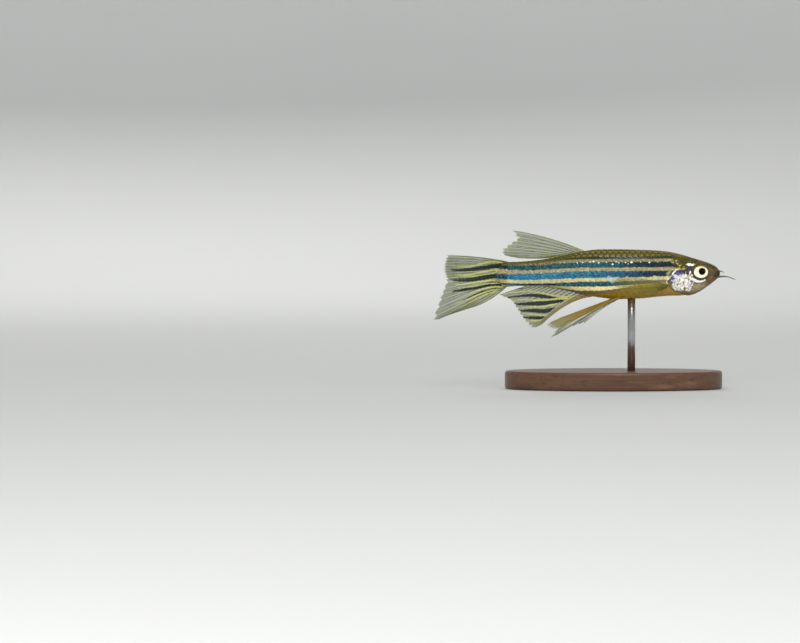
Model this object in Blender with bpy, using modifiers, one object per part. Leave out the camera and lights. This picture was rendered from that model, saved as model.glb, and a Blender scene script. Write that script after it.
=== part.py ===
"""A longfin zebra danio, life size, in a level swimming pose, on a plain display stand.

Lengths are in millimetres and are turned into metres as each mesh is made.
X runs to the snout, Y to the fish's left, Z up. The origin is the middle of the
underside of the stand. Along the body, "s" is the distance back from the snout
tip and "h" is the height above the body axis.
"""

import math

import bmesh
import bpy
import numpy as np

MM = 0.001

# ---- driving sizes ----------------------------------------------------------
AXIS_Z = 19.0  # height of the body axis above the table
SNOUT_X = 17.6  # snout tip ahead of the middle of the stand
STANDARD_LENGTH = 36.0  # snout tip to the end of the backbone
HEAD_END = 8.35  # where the nape meets the trunk
TAIL_START = 26.9  # where the trunk meets the tail stem
TAIL_END = 36.55  # end of the scaled tail stem
GAP = 0.05  # clearance between neighbouring solids
FIN = 0.5  # thickness of a fin plate

EYE_S, EYE_H = 3.24, 0.26
EYE_RADIUS, EYE_DEPTH = 1.23, 0.8
EYE_OUT = 1.2  # eye centre from the midline
EYE_YAW, EYE_PITCH = math.radians(9), math.radians(7)
PUPIL_RADIUS = 0.55

ROD_X, ROD_RADIUS = 2.95, 0.65
BASE_LENGTH, BASE_WIDTH, BASE_HEIGHT = 36.0, 18.0, 3.0

# back from snout, top, underside, half width, level of the widest line, and the
# exponents of the upper and the lower half of the section (2 is an ellipse)
STATIONS = np.array([
    (0.00, 0.13, 0.13, 0.00, 0.13, 2.2, 2.0),
    (0.15, 0.62, -0.42, 0.42, 0.10, 2.2, 2.0),
    (0.55, 1.12, -0.88, 0.80, 0.08, 2.3, 2.0),
    (1.15, 1.50, -1.38, 1.12, 0.05, 2.4, 2.0),
    (2.00, 1.87, -2.01, 1.40, 0.00, 2.5, 2.0),
    (3.30, 2.28, -2.87, 1.68, -0.05, 2.5, 2.0),
    (5.00, 2.80, -3.50, 1.96, -0.05, 2.4, 2.0),
    (6.70, 3.29, -3.64, 2.15, 0.00, 2.3, 1.9),
    (8.35, 3.67, -3.68, 2.28, 0.10, 2.2, 1.9),
    (10.0, 3.86, -3.80, 2.37, 0.20, 2.1, 1.9),
    (13.3, 4.03, -4.13, 2.44, 0.25, 2.1, 1.9),
    (16.6, 4.12, -4.24, 2.40, 0.25, 2.1, 1.9),
    (19.9, 4.10, -3.95, 2.26, 0.25, 2.1, 1.95),
    (23.2, 3.70, -3.34, 1.98, 0.22, 2.1, 2.0),
    (26.5, 2.93, -2.58, 1.60, 0.15, 2.1, 2.1),
    (29.8, 2.37, -2.13, 1.21, 0.08, 2.2, 2.2),
    (33.1, 2.06, -2.05, 0.88, 0.00, 2.3, 2.3),
    (35.6, 1.98, -2.22, 0.55, -0.10, 2.4, 2.4),
    (37.0, 1.98, -2.42, 0.28, -0.15, 2.6, 2.6),
])
TOP, UNDER, WIDTH, LEVEL, POWER_UP, POWER_DOWN = range(1, 7)


# ---- the body's own shape ---------------------------------------------------
def slopes(x, y):
    """Slopes that keep a cubic curve through x, y from overshooting."""
    step = np.diff(y) / np.diff(x)
    out = np.concatenate([[step[0]], 2 * step[1:] * step[:-1] / np.where(
        step[1:] + step[:-1] == 0, 1, step[1:] + step[:-1]), [step[-1]]])
    out[1:-1][step[1:] * step[:-1] <= 0] = 0
    return out


ROOT_S = np.sqrt(STATIONS[:, 0])
SLOPES = [slopes(ROOT_S, STATIONS[:, i]) for i in range(7)]


def along(s, column):
    """A column of STATIONS at s. It runs in the root of s, which rounds the snout."""
    r = math.sqrt(min(max(s, 0.0), float(STATIONS[-1, 0])))
    i = int(min(max(np.searchsorted(ROOT_S, r) - 1, 0), len(ROOT_S) - 2))
    width = ROOT_S[i + 1] - ROOT_S[i]
    t = (r - ROOT_S[i]) / width
    y0, y1 = STATIONS[i, column], STATIONS[i + 1, column]
    m0, m1 = SLOPES[column][i] * width, SLOPES[column][i + 1] * width
    return ((1 + 2 * t) * y0 + t * m0) * (1 - t) ** 2 + (
        (3 - 2 * t) * y1 + (t - 1) * m1) * t ** 2


def section(s, angle):
    """Point (y, h) of the body's outline at s; angle 0 is the fish's left, 90 the back."""
    level = along(s, LEVEL)
    c, d = math.cos(angle), math.sin(angle)
    power = along(s, POWER_UP if d > 0 else POWER_DOWN)
    height = along(s, TOP) - level if d > 0 else level - along(s, UNDER)
    return (
        math.copysign(abs(c) ** (2 / power), c) * along(s, WIDTH),
        level + math.copysign(abs(d) ** (2 / power), d) * height,
    )


def flank(s, h):
    """Half width of the body at s and height h."""
    level = along(s, LEVEL)
    power = along(s, POWER_UP if h > level else POWER_DOWN)
    height = along(s, TOP) - level if h > level else level - along(s, UNDER)
    return along(s, WIDTH) * max(0.0, 1 - (abs(h - level) / height) ** power) ** (1 / power)


def underside(s, y):
    """Height of the belly at s, y off the midline."""
    power = along(s, POWER_DOWN)
    level = along(s, LEVEL)
    part = max(0.0, 1 - (abs(y) / along(s, WIDTH)) ** power) ** (1 / power)
    return level - (level - along(s, UNDER)) * part


def place(s, y, h):
    return ((SNOUT_X - s) * MM, y * MM, (AXIS_Z + h) * MM)


# ---- helpers ----------------------------------------------------------------
def clear_scene():
    for obj in list(bpy.data.objects):
        bpy.data.objects.remove(obj, do_unlink=True)


def collection(name):
    made = bpy.data.collections.new(name)
    bpy.context.scene.collection.children.link(made)
    return made


def material(name, colour, roughness=0.45, metallic=0.0):
    made = bpy.data.materials.new(name)
    made.use_nodes = True
    shader = made.node_tree.nodes["Principled BSDF"]
    shader.inputs["Base Color"].default_value = (*colour, 1)
    shader.inputs["Roughness"].default_value = roughness
    shader.inputs["Metallic"].default_value = metallic
    made.diffuse_color = (*colour, 1)
    return made


def add_mesh(name, points, faces, group, paint=None):
    mesh = bpy.data.meshes.new(name)
    mesh.from_pydata(points, [], faces)
    work = bmesh.new()
    work.from_mesh(mesh)
    bmesh.ops.remove_doubles(work, verts=work.verts, dist=1e-7)
    bmesh.ops.recalc_face_normals(work, faces=work.faces)
    work.to_mesh(mesh)
    work.free()
    made = bpy.data.objects.new(name, mesh)
    group.objects.link(made)
    if paint:
        mesh.materials.append(paint)
    for face in mesh.polygons:
        face.use_smooth = True
    return made


def as_cutter(obj):
    obj.hide_render = True
    obj.display_type = "WIRE"
    return obj


def boolean(obj, cutter, operation):
    modifier = obj.modifiers.new(operation.title() + " " + cutter.name, "BOOLEAN")
    modifier.object = cutter
    modifier.operation = operation
    modifier.solver = "EXACT"
    return modifier


def grid_faces(rows, columns, closed=False):
    faces = []
    for i in range(rows - 1):
        for j in range(columns if closed else columns - 1):
            k = (j + 1) % columns
            faces.append((i * columns + j, i * columns + k,
                          (i + 1) * columns + k, (i + 1) * columns + j))
    return faces


def loft(name, places, segments, group, paint=None, rounding=0.0):
    """The body's shape over the given places, closed by a flat cap at each end.

    rounding is the length over which the rear end draws in to a blunt edge.
    """
    points, faces = [], []
    for s in places:
        into = max(0.0, (s - (places[-1] - rounding)) / rounding) if rounding else 0.0
        squeeze = math.sqrt(1 - 0.80 * into ** 2)
        middle = (along(s, TOP) + along(s, UNDER)) / 2
        for j in range(segments):
            y, h = section(s, 2 * math.pi * (j + 0.5) / segments)
            points.append(place(s, y, middle + (h - middle) * squeeze))
    faces = grid_faces(len(places), segments, closed=True)
    last = (len(places) - 1) * segments
    faces.append(tuple(reversed(range(segments))))
    faces.append(tuple(range(last, last + segments)))
    return add_mesh(name, points, faces, group, paint)


def prism(name, outline, half_width, group):
    """A block with a side outline of (s, h) points, across the whole fish."""
    count = len(outline)
    points = [place(s, y, h) for y in (-half_width, half_width) for s, h in outline]
    faces = [tuple(range(count)), tuple(reversed(range(count, 2 * count)))]
    for i in range(count):
        j = (i + 1) % count
        faces.append((i, j, count + j, count + i))
    return as_cutter(add_mesh(name, points, faces, group))


def ball(name, centre, radii, group, paint=None, segments=20, rings=12, turn=None):
    """An ellipsoid: centre (s, y, h), radii along X, Y and Z."""
    mesh = bpy.data.meshes.new(name)
    work = bmesh.new()
    bmesh.ops.create_uvsphere(work, u_segments=segments, v_segments=rings, radius=MM)
    # the poles look sideways
    bmesh.ops.rotate(work, verts=work.verts, cent=(0, 0, 0),
                     matrix=rotation("X", math.pi / 2))
    bmesh.ops.scale(work, verts=work.verts, vec=radii)
    if turn is not None:
        bmesh.ops.rotate(work, verts=work.verts, cent=(0, 0, 0), matrix=turn)
    bmesh.ops.translate(work, verts=work.verts, vec=place(*centre))
    bmesh.ops.recalc_face_normals(work, faces=work.faces)
    work.to_mesh(mesh)
    work.free()
    made = bpy.data.objects.new(name, mesh)
    group.objects.link(made)
    if paint:
        mesh.materials.append(paint)
    for face in mesh.polygons:
        face.use_smooth = True
    return made


def rotation(axis, angle):
    from mathutils import Matrix

    return Matrix.Rotation(angle, 3, axis)


def spread(values, u):
    """The value at u (0..1) of a short evenly spaced table, on a smooth curve."""
    values = np.asarray(values, float)
    x = np.linspace(0, 1, len(values))
    i = int(min(max(np.searchsorted(x, u) - 1, 0), len(x) - 2))
    t = (u - x[i]) * (len(x) - 1)
    before = values[max(i - 1, 0)]
    after = values[min(i + 2, len(x) - 1)]
    m0 = (values[i + 1] - before) / (2 if i else 1)
    m1 = (after - values[i]) / (2 if i + 2 < len(x) else 1)
    y0, y1 = values[i], values[i + 1]
    return ((1 + 2 * t) * y0 + t * m0) * (1 - t) ** 2 + ((3 - 2 * t) * y1 + (t - 1) * m1) * t ** 2


def sheet(name, roots, tips, bow, across, outward, offset, group, paint):
    """A fin as a plate FIN thick: rays from roots to tips, both (s, h) tables.

    bow lifts the middle of each ray. outward(s, h, v) gives the sideways place of
    the plate's middle. offset keeps the whole plate centred on it.
    """
    columns, rows = across
    points = []
    for j in range(rows):
        v = j / (rows - 1)
        for i in range(columns):
            u = i / (columns - 1)
            s = spread([p[0] for p in roots], u) * (1 - v) + spread([p[0] for p in tips], u) * v
            h = spread([p[1] for p in roots], u) * (1 - v) + spread([p[1] for p in tips], u) * v
            h += spread(bow, u) * 4 * v * (1 - v)
            points.append(place(s, outward(s, h, u, v), h))
    made = add_mesh(name, points, grid_faces(rows, columns), group, paint)
    solidify = made.modifiers.new("Thickness", "SOLIDIFY")
    solidify.thickness = FIN * MM
    solidify.offset = offset
    return made


def tube(name, points, radii, group, paint):
    """A feeler: a round curve through points (s, y, h) with a radius at each."""
    data = bpy.data.curves.new(name, "CURVE")
    data.dimensions = "3D"
    data.bevel_depth = MM
    data.bevel_resolution = 1
    data.resolution_u = 3
    data.use_fill_caps = True
    spline = data.splines.new("BEZIER")
    spline.bezier_points.add(len(points) - 1)
    for knot, where, radius in zip(spline.bezier_points, points, radii):
        knot.co = place(*where)
        knot.radius = radius
        knot.handle_left_type = knot.handle_right_type = "AUTO"
    made = bpy.data.objects.new(name, data)
    group.objects.link(made)
    data.materials.append(paint)
    return made


# ---- the fish ---------------------------------------------------------------
def gill_grid(name, side, group, paint, margin, inner, outer, lift):
    """The gill cover, or with a margin the pocket it sits in, as a curved slab."""
    heights = np.array([1.02, 0.45, -0.55, -1.15, -1.85, -2.6, -3.15])
    front = np.array([5.75, 5.0, 4.85, 4.8, 4.65, 4.95, 5.7])
    rear = np.array([7.2, 7.9, 8.5, 9.15, 8.75, 7.95, 6.6])
    middle_s, middle_h = 6.8, -1.0
    rows, columns = 13, 9
    points = []
    for layer in (0, 1):
        for i in range(rows):
            v = i / (rows - 1)
            h0 = spread(heights, v)
            for j in range(columns):
                u = j / (columns - 1)
                s = spread(front, v) * (1 - u) + spread(rear, v) * u
                h = h0
                away = math.hypot(s - middle_s, h - middle_h) or 1.0
                s += margin * (s - middle_s) / away
                h += margin * (h - middle_h) / away
                edge = 4 * u * (1 - u)
                rise = (outer + lift * u ** 2) if layer else -inner
                y = flank(s, h) + rise - (0.0 if not layer or margin else 0.05 * (1 - edge))
                points.append(place(s, side * y, h))
    half = rows * columns
    sheet_faces = grid_faces(rows, columns)
    faces = [tuple(reversed(f)) for f in sheet_faces]
    faces += [tuple(k + half for k in f) for f in sheet_faces]
    rim = ([j for j in range(columns)]
           + [i * columns + columns - 1 for i in range(1, rows)]
           + [(rows - 1) * columns + j for j in range(columns - 2, -1, -1)]
           + [i * columns for i in range(rows - 2, 0, -1)])
    for a, b in zip(rim, rim[1:] + rim[:1]):
        faces.append((a, b, b + half, a + half))
    return add_mesh(name, points, faces, group, paint)


def main():
    clear_scene()
    fish = collection("zebra_danio")
    helpers = collection("cutters")

    olive = material("Olive head", (0.36, 0.31, 0.16))
    silver = material("Silver gill cover", (0.74, 0.72, 0.68), 0.25, 0.5)
    flesh = material("Jaw", (0.45, 0.34, 0.22))
    blue = material("Blue and gold trunk", (0.10, 0.24, 0.36), 0.3, 0.3)
    blue_tail = material("Blue and cream tail stem", (0.13, 0.34, 0.50), 0.3, 0.3)
    fin_olive = material("Olive fin", (0.30, 0.34, 0.18))
    fin_gold = material("Golden fin", (0.55, 0.42, 0.12))
    fin_clear = material("Clear fin", (0.45, 0.46, 0.34))
    fin_striped = material("Striped fin", (0.42, 0.44, 0.16))
    eye_white = material("Eye", (0.85, 0.80, 0.58), 0.12)
    feeler = material("Feeler", (0.34, 0.28, 0.16))
    wood = material("Stand wood", (0.09, 0.05, 0.03), 0.4)
    steel = material("Stand steel", (0.6, 0.6, 0.62), 0.3, 1.0)

    # head, trunk and tail stem share one run of sections
    head_places = [0.012 + (HEAD_END - 0.012) * (i / 15) ** 1.7 for i in range(16)]
    head = loft("head", head_places, 32, fish, olive)
    trunk_places = list(np.linspace(HEAD_END + GAP, TAIL_START - GAP, 16))
    trunk = loft("trunk", trunk_places, 32, fish, blue)
    tail_places = list(np.linspace(TAIL_START, 35.6, 8)) + [36.0, 36.25, 36.43, TAIL_END]
    loft("tail", tail_places, 28, fish, blue_tail, 0.95)

    # lower jaw: the part of the head's front below the slanting cleft of the mouth
    cleft = [(-0.6, 0.42), (0.05, 0.10), (1.25, -0.62), (1.75, -1.22), (3.10, -2.05),
             (3.55, -3.60), (-0.6, -3.60)]
    wider = [(-0.7, 0.52), (0.05, 0.18), (1.29, -0.56), (1.81, -1.18), (3.16, -2.01),
             (3.63, -3.70), (-0.7, -3.70)]
    jaw = loft("lower_jaw", head_places[:13], 32, fish, flesh)
    boolean(jaw, prism("jaw_block", cleft, 4.0, helpers), "INTERSECT")
    boolean(head, prism("jaw_room", wider, 4.0, helpers), "DIFFERENCE")

    for side, word in ((-1, "right"), (1, "left")):
        # eyes, each in a socket a little wider than itself
        turn = rotation("Z", -side * EYE_YAW) @ rotation("X", side * EYE_PITCH)
        centre = (EYE_S, side * EYE_OUT, EYE_H)
        radii = (EYE_RADIUS, EYE_DEPTH, EYE_RADIUS)
        ball("eye_" + word, centre, radii, fish, eye_white, 20, 12, turn)
        socket = as_cutter(ball("socket_" + word, centre, [r + GAP for r in radii],
                                helpers, None, 20, 12, turn))
        boolean(head, socket, "DIFFERENCE")
        # nostrils, ahead of and above the eye
        for k, (s, h, r) in enumerate(((1.42, 1.12, 0.13), (1.74, 1.22, 0.15))):
            pit = as_cutter(ball("nostril_%s_%d" % (word, k), (s, side * flank(s, h), h),
                                 (r, r, r), helpers, None, 10, 6))
            boolean(head, pit, "DIFFERENCE")
        # gill covers, each in a pocket cut from the head and the front of the trunk
        gill_grid("gill_cover_" + word, side, fish, silver, 0.0, 0.42, 0.04, 0.07)
        pocket = as_cutter(gill_grid("gill_pocket_" + word, side, helpers, None, 0.07, 0.48, 1.2, 0.0))
        boolean(head, pocket, "DIFFERENCE")
        boolean(trunk, pocket, "DIFFERENCE")

    # median fins
    def back_sway(s, h, u, v):
        return 0.22 * v * v * math.sin(0.55 * (s - 22.0))

    def belly_sway(s, h, u, v):
        return -0.24 * v * v * math.sin(0.50 * (s - 21.0))

    def tail_sway(s, h, u, v):
        back = max(0.0, s - TAIL_END) / 10
        return 0.50 * back ** 2 + 0.16 * back * math.sin(0.75 * h + 0.6)

    def on_back(values):
        return [(s, along(s, TOP) + 0.07) for s in values]

    def on_belly(values):
        return [(s, along(s, UNDER) - 0.07) for s in values]

    sheet("dorsal_fin", on_back((22.7, 23.8, 24.9, 26.0, 27.1, 28.2)),
          ((34.35, 7.15), (35.0, 6.05), (35.75, 4.95), (36.3, 3.88), (35.6, 3.05), (33.4, 2.62)),
          (0.40, 0.28, 0.16, 0.05, -0.05, -0.10), (11, 6), back_sway, 0.0, fish, fin_olive)
    sheet("anal_fin", on_belly((21.6, 23.7, 25.8, 27.9, 30.0, 32.2)),
          ((29.6, -8.5), (31.0, -8.95), (32.45, -7.6), (33.6, -5.8), (34.6, -4.4), (36.5, -3.45)),
          (0.85, 0.55, 0.35, 0.2, 0.1, 0.05), (11, 6), belly_sway, 0.0, fish, fin_striped)
    clear = 0.06
    upper_root = [(36.0, 2.10), (36.37 + clear, 1.55), (36.52 + clear, 0.8), (TAIL_END + clear, -0.17)]
    lower_root = [(TAIL_END + clear, -0.23), (36.52 + clear, -1.1), (36.37 + clear, -1.9), (35.7, -2.42)]
    sheet("caudal_fin_upper", upper_root,
          ((45.2, 3.0), (45.6, 1.6), (45.6, 0.3), (45.2, -0.95)),
          (0.22, 0.05, 0.0, 0.1), (7, 7), tail_sway, 0.0, fish, fin_striped)
    sheet("caudal_fin_lower", lower_root,
          ((45.2, -1.05), (45.9, -2.97), (46.6, -4.95), (47.3, -7.6), (45.3, -6.98), (42.5, -5.9)),
          (0.1, 0.15, 0.1, -0.1, -0.35, -0.62), (11, 7), tail_sway, 0.0, fish, fin_striped)

    for side, word in ((-1, "right"), (1, "left")):
        # breast fins, folded back along the flank
        def breast(s, h, u, v):
            return side * (flank(s, h) + 0.33 + 0.10 * v + 1.15 * v * v)

        sheet("pectoral_fin_" + word,
              ((9.05, -1.72), (9.15, -2.0), (9.3, -2.3), (9.5, -2.6)),
              ((17.4, -0.62), (17.9, -1.2), (17.3, -2.2), (15.3, -3.0), (12.6, -3.15)),
              (0.35, 0.1, -0.05, -0.1, -0.1), (9, 7), breast, 0.0, fish, fin_clear)

    # belly fins: the right one is held closer to the body than the left one
    def belly_fin(name, side, roots_s, roots_y, tips, tips_y, bow, paint):
        roots = [(s, underside(s, y) - 0.42) for s, y in zip(roots_s, roots_y)]

        def outward(s, h, u, v):
            return side * (spread(roots_y, u) * (1 - v) + spread(tips_y, u) * v)

        sheet(name, roots, tips, bow, (8, 10), outward, 0.0, fish, paint)

    belly_fin("pelvic_fin_right", -1, (16.6, 17.1, 17.6, 18.1), (1.25, 1.05, 0.85, 0.65),
              ((27.1, -9.1), (28.1, -8.9), (28.6, -8.3), (26.6, -7.3)),
              (2.5, 2.1, 1.6, 1.1), (0.0, 0.05, 0.05, 0.0), fin_gold)
    belly_fin("pelvic_fin_left", 1, (15.7, 16.5, 17.3, 18.1), (1.25, 1.05, 0.85, 0.65),
              ((22.4, -8.3), (24.6, -8.9), (27.8, -10.6), (26.4, -8.6)),
              (2.9, 2.6, 2.2, 1.4), (0.4, 0.25, 0.1, 0.1), fin_clear)

    # feelers: a long pair from the corners of the mouth, a short pair above it
    for side, word in ((-1, "right"), (1, "left")):
        tube("barbel_maxillary_" + word,
             ((1.05, side * 1.36, -0.62), (0.35, side * 1.30, -0.52), (-0.5, side * 1.36, -0.42),
              (-1.5, side * 1.58, -0.55), (-2.55, side * 1.85, -1.0)),
             (0.27, 0.27, 0.26, 0.25, 0.24), fish, feeler)
        tube("barbel_rostral_" + word,
             ((0.42, side * 0.86, 0.52), (-0.10, side * 0.90, 0.46), (-0.62, side * 1.04, 0.22)),
             (0.26, 0.25, 0.24), fish, feeler)

    # the stand: a flat base and one rod up into the belly
    hole_s = SNOUT_X - ROD_X
    belly = AXIS_Z + along(hole_s, UNDER)
    bpy.ops.mesh.primitive_cylinder_add(
        vertices=16, radius=(ROD_RADIUS + GAP) * MM, depth=3.0 * MM,
        location=(ROD_X * MM, 0, (belly + 1.2 - 1.5) * MM))
    bore = bpy.context.object
    bore.name = "rod_hole"
    for owner in list(bore.users_collection):
        owner.objects.unlink(bore)
    helpers.objects.link(bore)
    as_cutter(bore)
    boolean(trunk, bore, "DIFFERENCE")

    bottom = BASE_HEIGHT + GAP
    top = belly + 1.2 - GAP
    bpy.ops.mesh.primitive_cylinder_add(
        vertices=16, radius=ROD_RADIUS * MM, depth=(top - bottom) * MM,
        location=(ROD_X * MM, 0, (top + bottom) / 2 * MM))
    rod = bpy.context.object
    rod.name = "stand_rod"
    rod.data.materials.append(steel)

    bpy.ops.mesh.primitive_cylinder_add(
        vertices=48, radius=0.5, depth=1, location=(0, 0, BASE_HEIGHT / 2 * MM))
    base = bpy.context.object
    base.name = "stand_base"
    base.scale = (BASE_LENGTH * MM, BASE_WIDTH * MM, BASE_HEIGHT * MM)
    bpy.ops.object.transform_apply(location=False, rotation=False, scale=True)
    edge = base.modifiers.new("Soft edge", "BEVEL")
    edge.width = 0.5 * MM
    edge.segments = 2
    edge.limit_method = "ANGLE"
    base.data.materials.append(wood)
    for obj in (rod, base):
        for owner in list(obj.users_collection):
            owner.objects.unlink(obj)
        fish.objects.link(obj)
        for face in obj.data.polygons:
            face.use_smooth = len(face.vertices) == 4


main()
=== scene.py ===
"""Looks for the longfin zebra danio on its stand.

Lengths are in millimetres until a mesh is made. Along the body, "s" is the
distance back from the snout tip and "h" the height above the body axis. The
shapes repeat the sizes of the solids that they lie in.
"""

import math

import bmesh
import bpy
import numpy as np
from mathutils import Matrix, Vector


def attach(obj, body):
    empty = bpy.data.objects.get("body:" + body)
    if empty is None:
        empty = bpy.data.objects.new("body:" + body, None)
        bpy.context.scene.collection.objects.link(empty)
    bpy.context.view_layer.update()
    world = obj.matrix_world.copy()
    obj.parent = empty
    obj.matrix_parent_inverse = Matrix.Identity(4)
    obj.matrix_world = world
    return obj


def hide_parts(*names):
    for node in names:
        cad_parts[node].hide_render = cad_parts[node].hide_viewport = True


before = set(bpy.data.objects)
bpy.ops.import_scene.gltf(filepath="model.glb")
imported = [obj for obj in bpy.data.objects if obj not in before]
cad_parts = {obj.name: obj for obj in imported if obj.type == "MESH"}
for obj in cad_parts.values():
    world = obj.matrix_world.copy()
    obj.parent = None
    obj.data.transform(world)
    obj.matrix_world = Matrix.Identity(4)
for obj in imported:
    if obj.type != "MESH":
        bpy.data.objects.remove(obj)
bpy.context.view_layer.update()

MM = 0.001
AXIS_Z = 19.0
SNOUT_X = 17.6
HEAD_END = 8.35
TAIL_END = 36.55
SCALE_DEPTH = 0.085  # the skin lies this far inside the solids, under the scales

EYE_S, EYE_H, EYE_OUT = 3.38, 0.28, 1.22
EYE_RADIUS, EYE_DEPTH = 1.23, 0.8
EYE_YAW, EYE_PITCH = math.radians(9), math.radians(7)

STATIONS = np.array([
    (0.00, 0.13, 0.13, 0.00, 0.13, 2.2, 2.0),
    (0.15, 0.62, -0.42, 0.42, 0.10, 2.2, 2.0),
    (0.55, 1.12, -0.88, 0.80, 0.08, 2.3, 2.0),
    (1.15, 1.50, -1.38, 1.12, 0.05, 2.4, 2.0),
    (2.00, 1.87, -2.01, 1.40, 0.00, 2.5, 2.0),
    (3.30, 2.28, -2.87, 1.68, -0.05, 2.5, 2.0),
    (5.00, 2.80, -3.50, 1.96, -0.05, 2.4, 2.0),
    (6.70, 3.29, -3.64, 2.15, 0.00, 2.3, 1.9),
    (8.35, 3.67, -3.68, 2.28, 0.10, 2.2, 1.9),
    (10.0, 3.86, -3.80, 2.37, 0.20, 2.1, 1.9),
    (13.3, 4.03, -4.13, 2.44, 0.25, 2.1, 1.9),
    (16.6, 4.12, -4.24, 2.40, 0.25, 2.1, 1.9),
    (19.9, 4.10, -3.95, 2.26, 0.25, 2.1, 1.95),
    (23.2, 3.70, -3.34, 1.98, 0.22, 2.1, 2.0),
    (26.5, 2.93, -2.58, 1.60, 0.15, 2.1, 2.1),
    (29.8, 2.37, -2.13, 1.21, 0.08, 2.2, 2.2),
    (33.1, 2.06, -2.05, 0.88, 0.00, 2.3, 2.3),
    (35.6, 1.98, -2.22, 0.55, -0.10, 2.4, 2.4),
    (37.0, 1.98, -2.42, 0.28, -0.15, 2.6, 2.6),
])
TOP, UNDER, WIDTH, LEVEL, POWER_UP, POWER_DOWN = range(1, 7)
ROOT_S = np.sqrt(STATIONS[:, 0])


# ---- the body's shape, for whole arrays of points ---------------------------
def slopes(x, y):
    step = np.diff(y) / np.diff(x)
    both = step[1:] + step[:-1]
    inner = 2 * step[1:] * step[:-1] / np.where(both == 0, 1, both)
    inner[step[1:] * step[:-1] <= 0] = 0
    return np.concatenate([[step[0]], inner, [step[-1]]])


SLOPES = [slopes(ROOT_S, STATIONS[:, i]) for i in range(7)]


def along(s, column):
    s = np.asarray(s, float)
    r = np.sqrt(np.clip(s, 0.0, STATIONS[-1, 0]))
    i = np.clip(np.searchsorted(ROOT_S, r) - 1, 0, len(ROOT_S) - 2)
    width = ROOT_S[i + 1] - ROOT_S[i]
    t = (r - ROOT_S[i]) / width
    y0, y1 = STATIONS[i, column], STATIONS[i + 1, column]
    m0, m1 = SLOPES[column][i] * width, SLOPES[column][i + 1] * width
    return ((1 + 2 * t) * y0 + t * m0) * (1 - t) ** 2 + ((3 - 2 * t) * y1 + (t - 1) * m1) * t ** 2


def smooth(low, high, x):
    t = np.clip((np.asarray(x, float) - low) / (high - low), 0, 1)
    return t * t * (3 - 2 * t)


def bump(x, middle, width):
    """1 at middle, falling smoothly to 0 a width away."""
    return 1 - smooth(0, width, np.abs(np.asarray(x, float) - middle))


def section(s, angle):
    """(y, h) of the outline at s; angle 0 is the fish's left side, 90 the back."""
    s, angle = np.broadcast_arrays(np.asarray(s, float), np.asarray(angle, float))
    level = along(s, LEVEL)
    c, d = np.cos(angle), np.sin(angle)
    power = np.where(d > 0, along(s, POWER_UP), along(s, POWER_DOWN))
    height = np.where(d > 0, along(s, TOP) - level, level - along(s, UNDER))
    y = np.sign(c) * np.abs(c) ** (2 / power) * along(s, WIDTH)
    h = level + np.sign(d) * np.abs(d) ** (2 / power) * height
    # the rear end of the tail stem draws in to a blunt edge
    into = np.clip((s - (TAIL_END - 0.95)) / 0.95, 0, 1)
    middle = (along(s, TOP) + along(s, UNDER)) / 2
    return y, middle + (h - middle) * np.sqrt(1 - 0.80 * into ** 2)


def surface(s, angle, inset=0.0):
    """Point and outward normal of the body, inset below its outline."""
    s = np.asarray(s, float)
    angle = np.asarray(angle, float)
    e, f = 0.02, 0.004

    def point(a, b):
        y, h = section(a, b)
        return np.stack([-a + 0 * y, y, h], -1)

    here = point(s, angle)
    back = point(s + e, angle) - point(np.maximum(s - e, 0.0005), angle)
    round_ = point(s, angle + f) - point(s, angle - f)
    normal = np.cross(back, round_)
    normal /= np.maximum(np.linalg.norm(normal, axis=-1, keepdims=True), 1e-12)
    return here - normal * np.asarray(inset, float)[..., None], normal


def flank(s, h):
    s, h = np.broadcast_arrays(np.asarray(s, float), np.asarray(h, float))
    level = along(s, LEVEL)
    power = np.where(h > level, along(s, POWER_UP), along(s, POWER_DOWN))
    height = np.where(h > level, along(s, TOP) - level, level - along(s, UNDER))
    part = np.clip(1 - (np.abs(h - level) / height) ** power, 0, 1)
    return along(s, WIDTH) * part ** (1 / power)


def underside(s, y):
    power = along(s, POWER_DOWN)
    level = along(s, LEVEL)
    part = np.clip(1 - (np.abs(y) / along(s, WIDTH)) ** power, 0, 1) ** (1 / power)
    return level - (level - along(s, UNDER)) * part


def to_world(points):
    """(-s, y, h) in mm to metres in the frame."""
    points = np.asarray(points, float)
    return (points + np.array([SNOUT_X, 0.0, AXIS_Z])) * MM


def spread(values, u):
    """A short evenly spaced table read at u (0..1), on a smooth curve."""
    values = np.asarray(values, float)
    u = np.asarray(u, float)
    n = len(values)
    x = np.linspace(0, 1, n)
    i = np.clip(np.searchsorted(x, u) - 1, 0, n - 2)
    t = (u - x[i]) * (n - 1)
    before = values[np.maximum(i - 1, 0)]
    after = values[np.minimum(i + 2, n - 1)]
    m0 = (values[i + 1] - before) / np.where(i > 0, 2, 1)
    m1 = (after - values[i]) / np.where(i + 2 < n, 2, 1)
    return ((1 + 2 * t) * values[i] + t * m0) * (1 - t) ** 2 + (
        (3 - 2 * t) * values[i + 1] + (t - 1) * m1) * t ** 2


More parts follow.
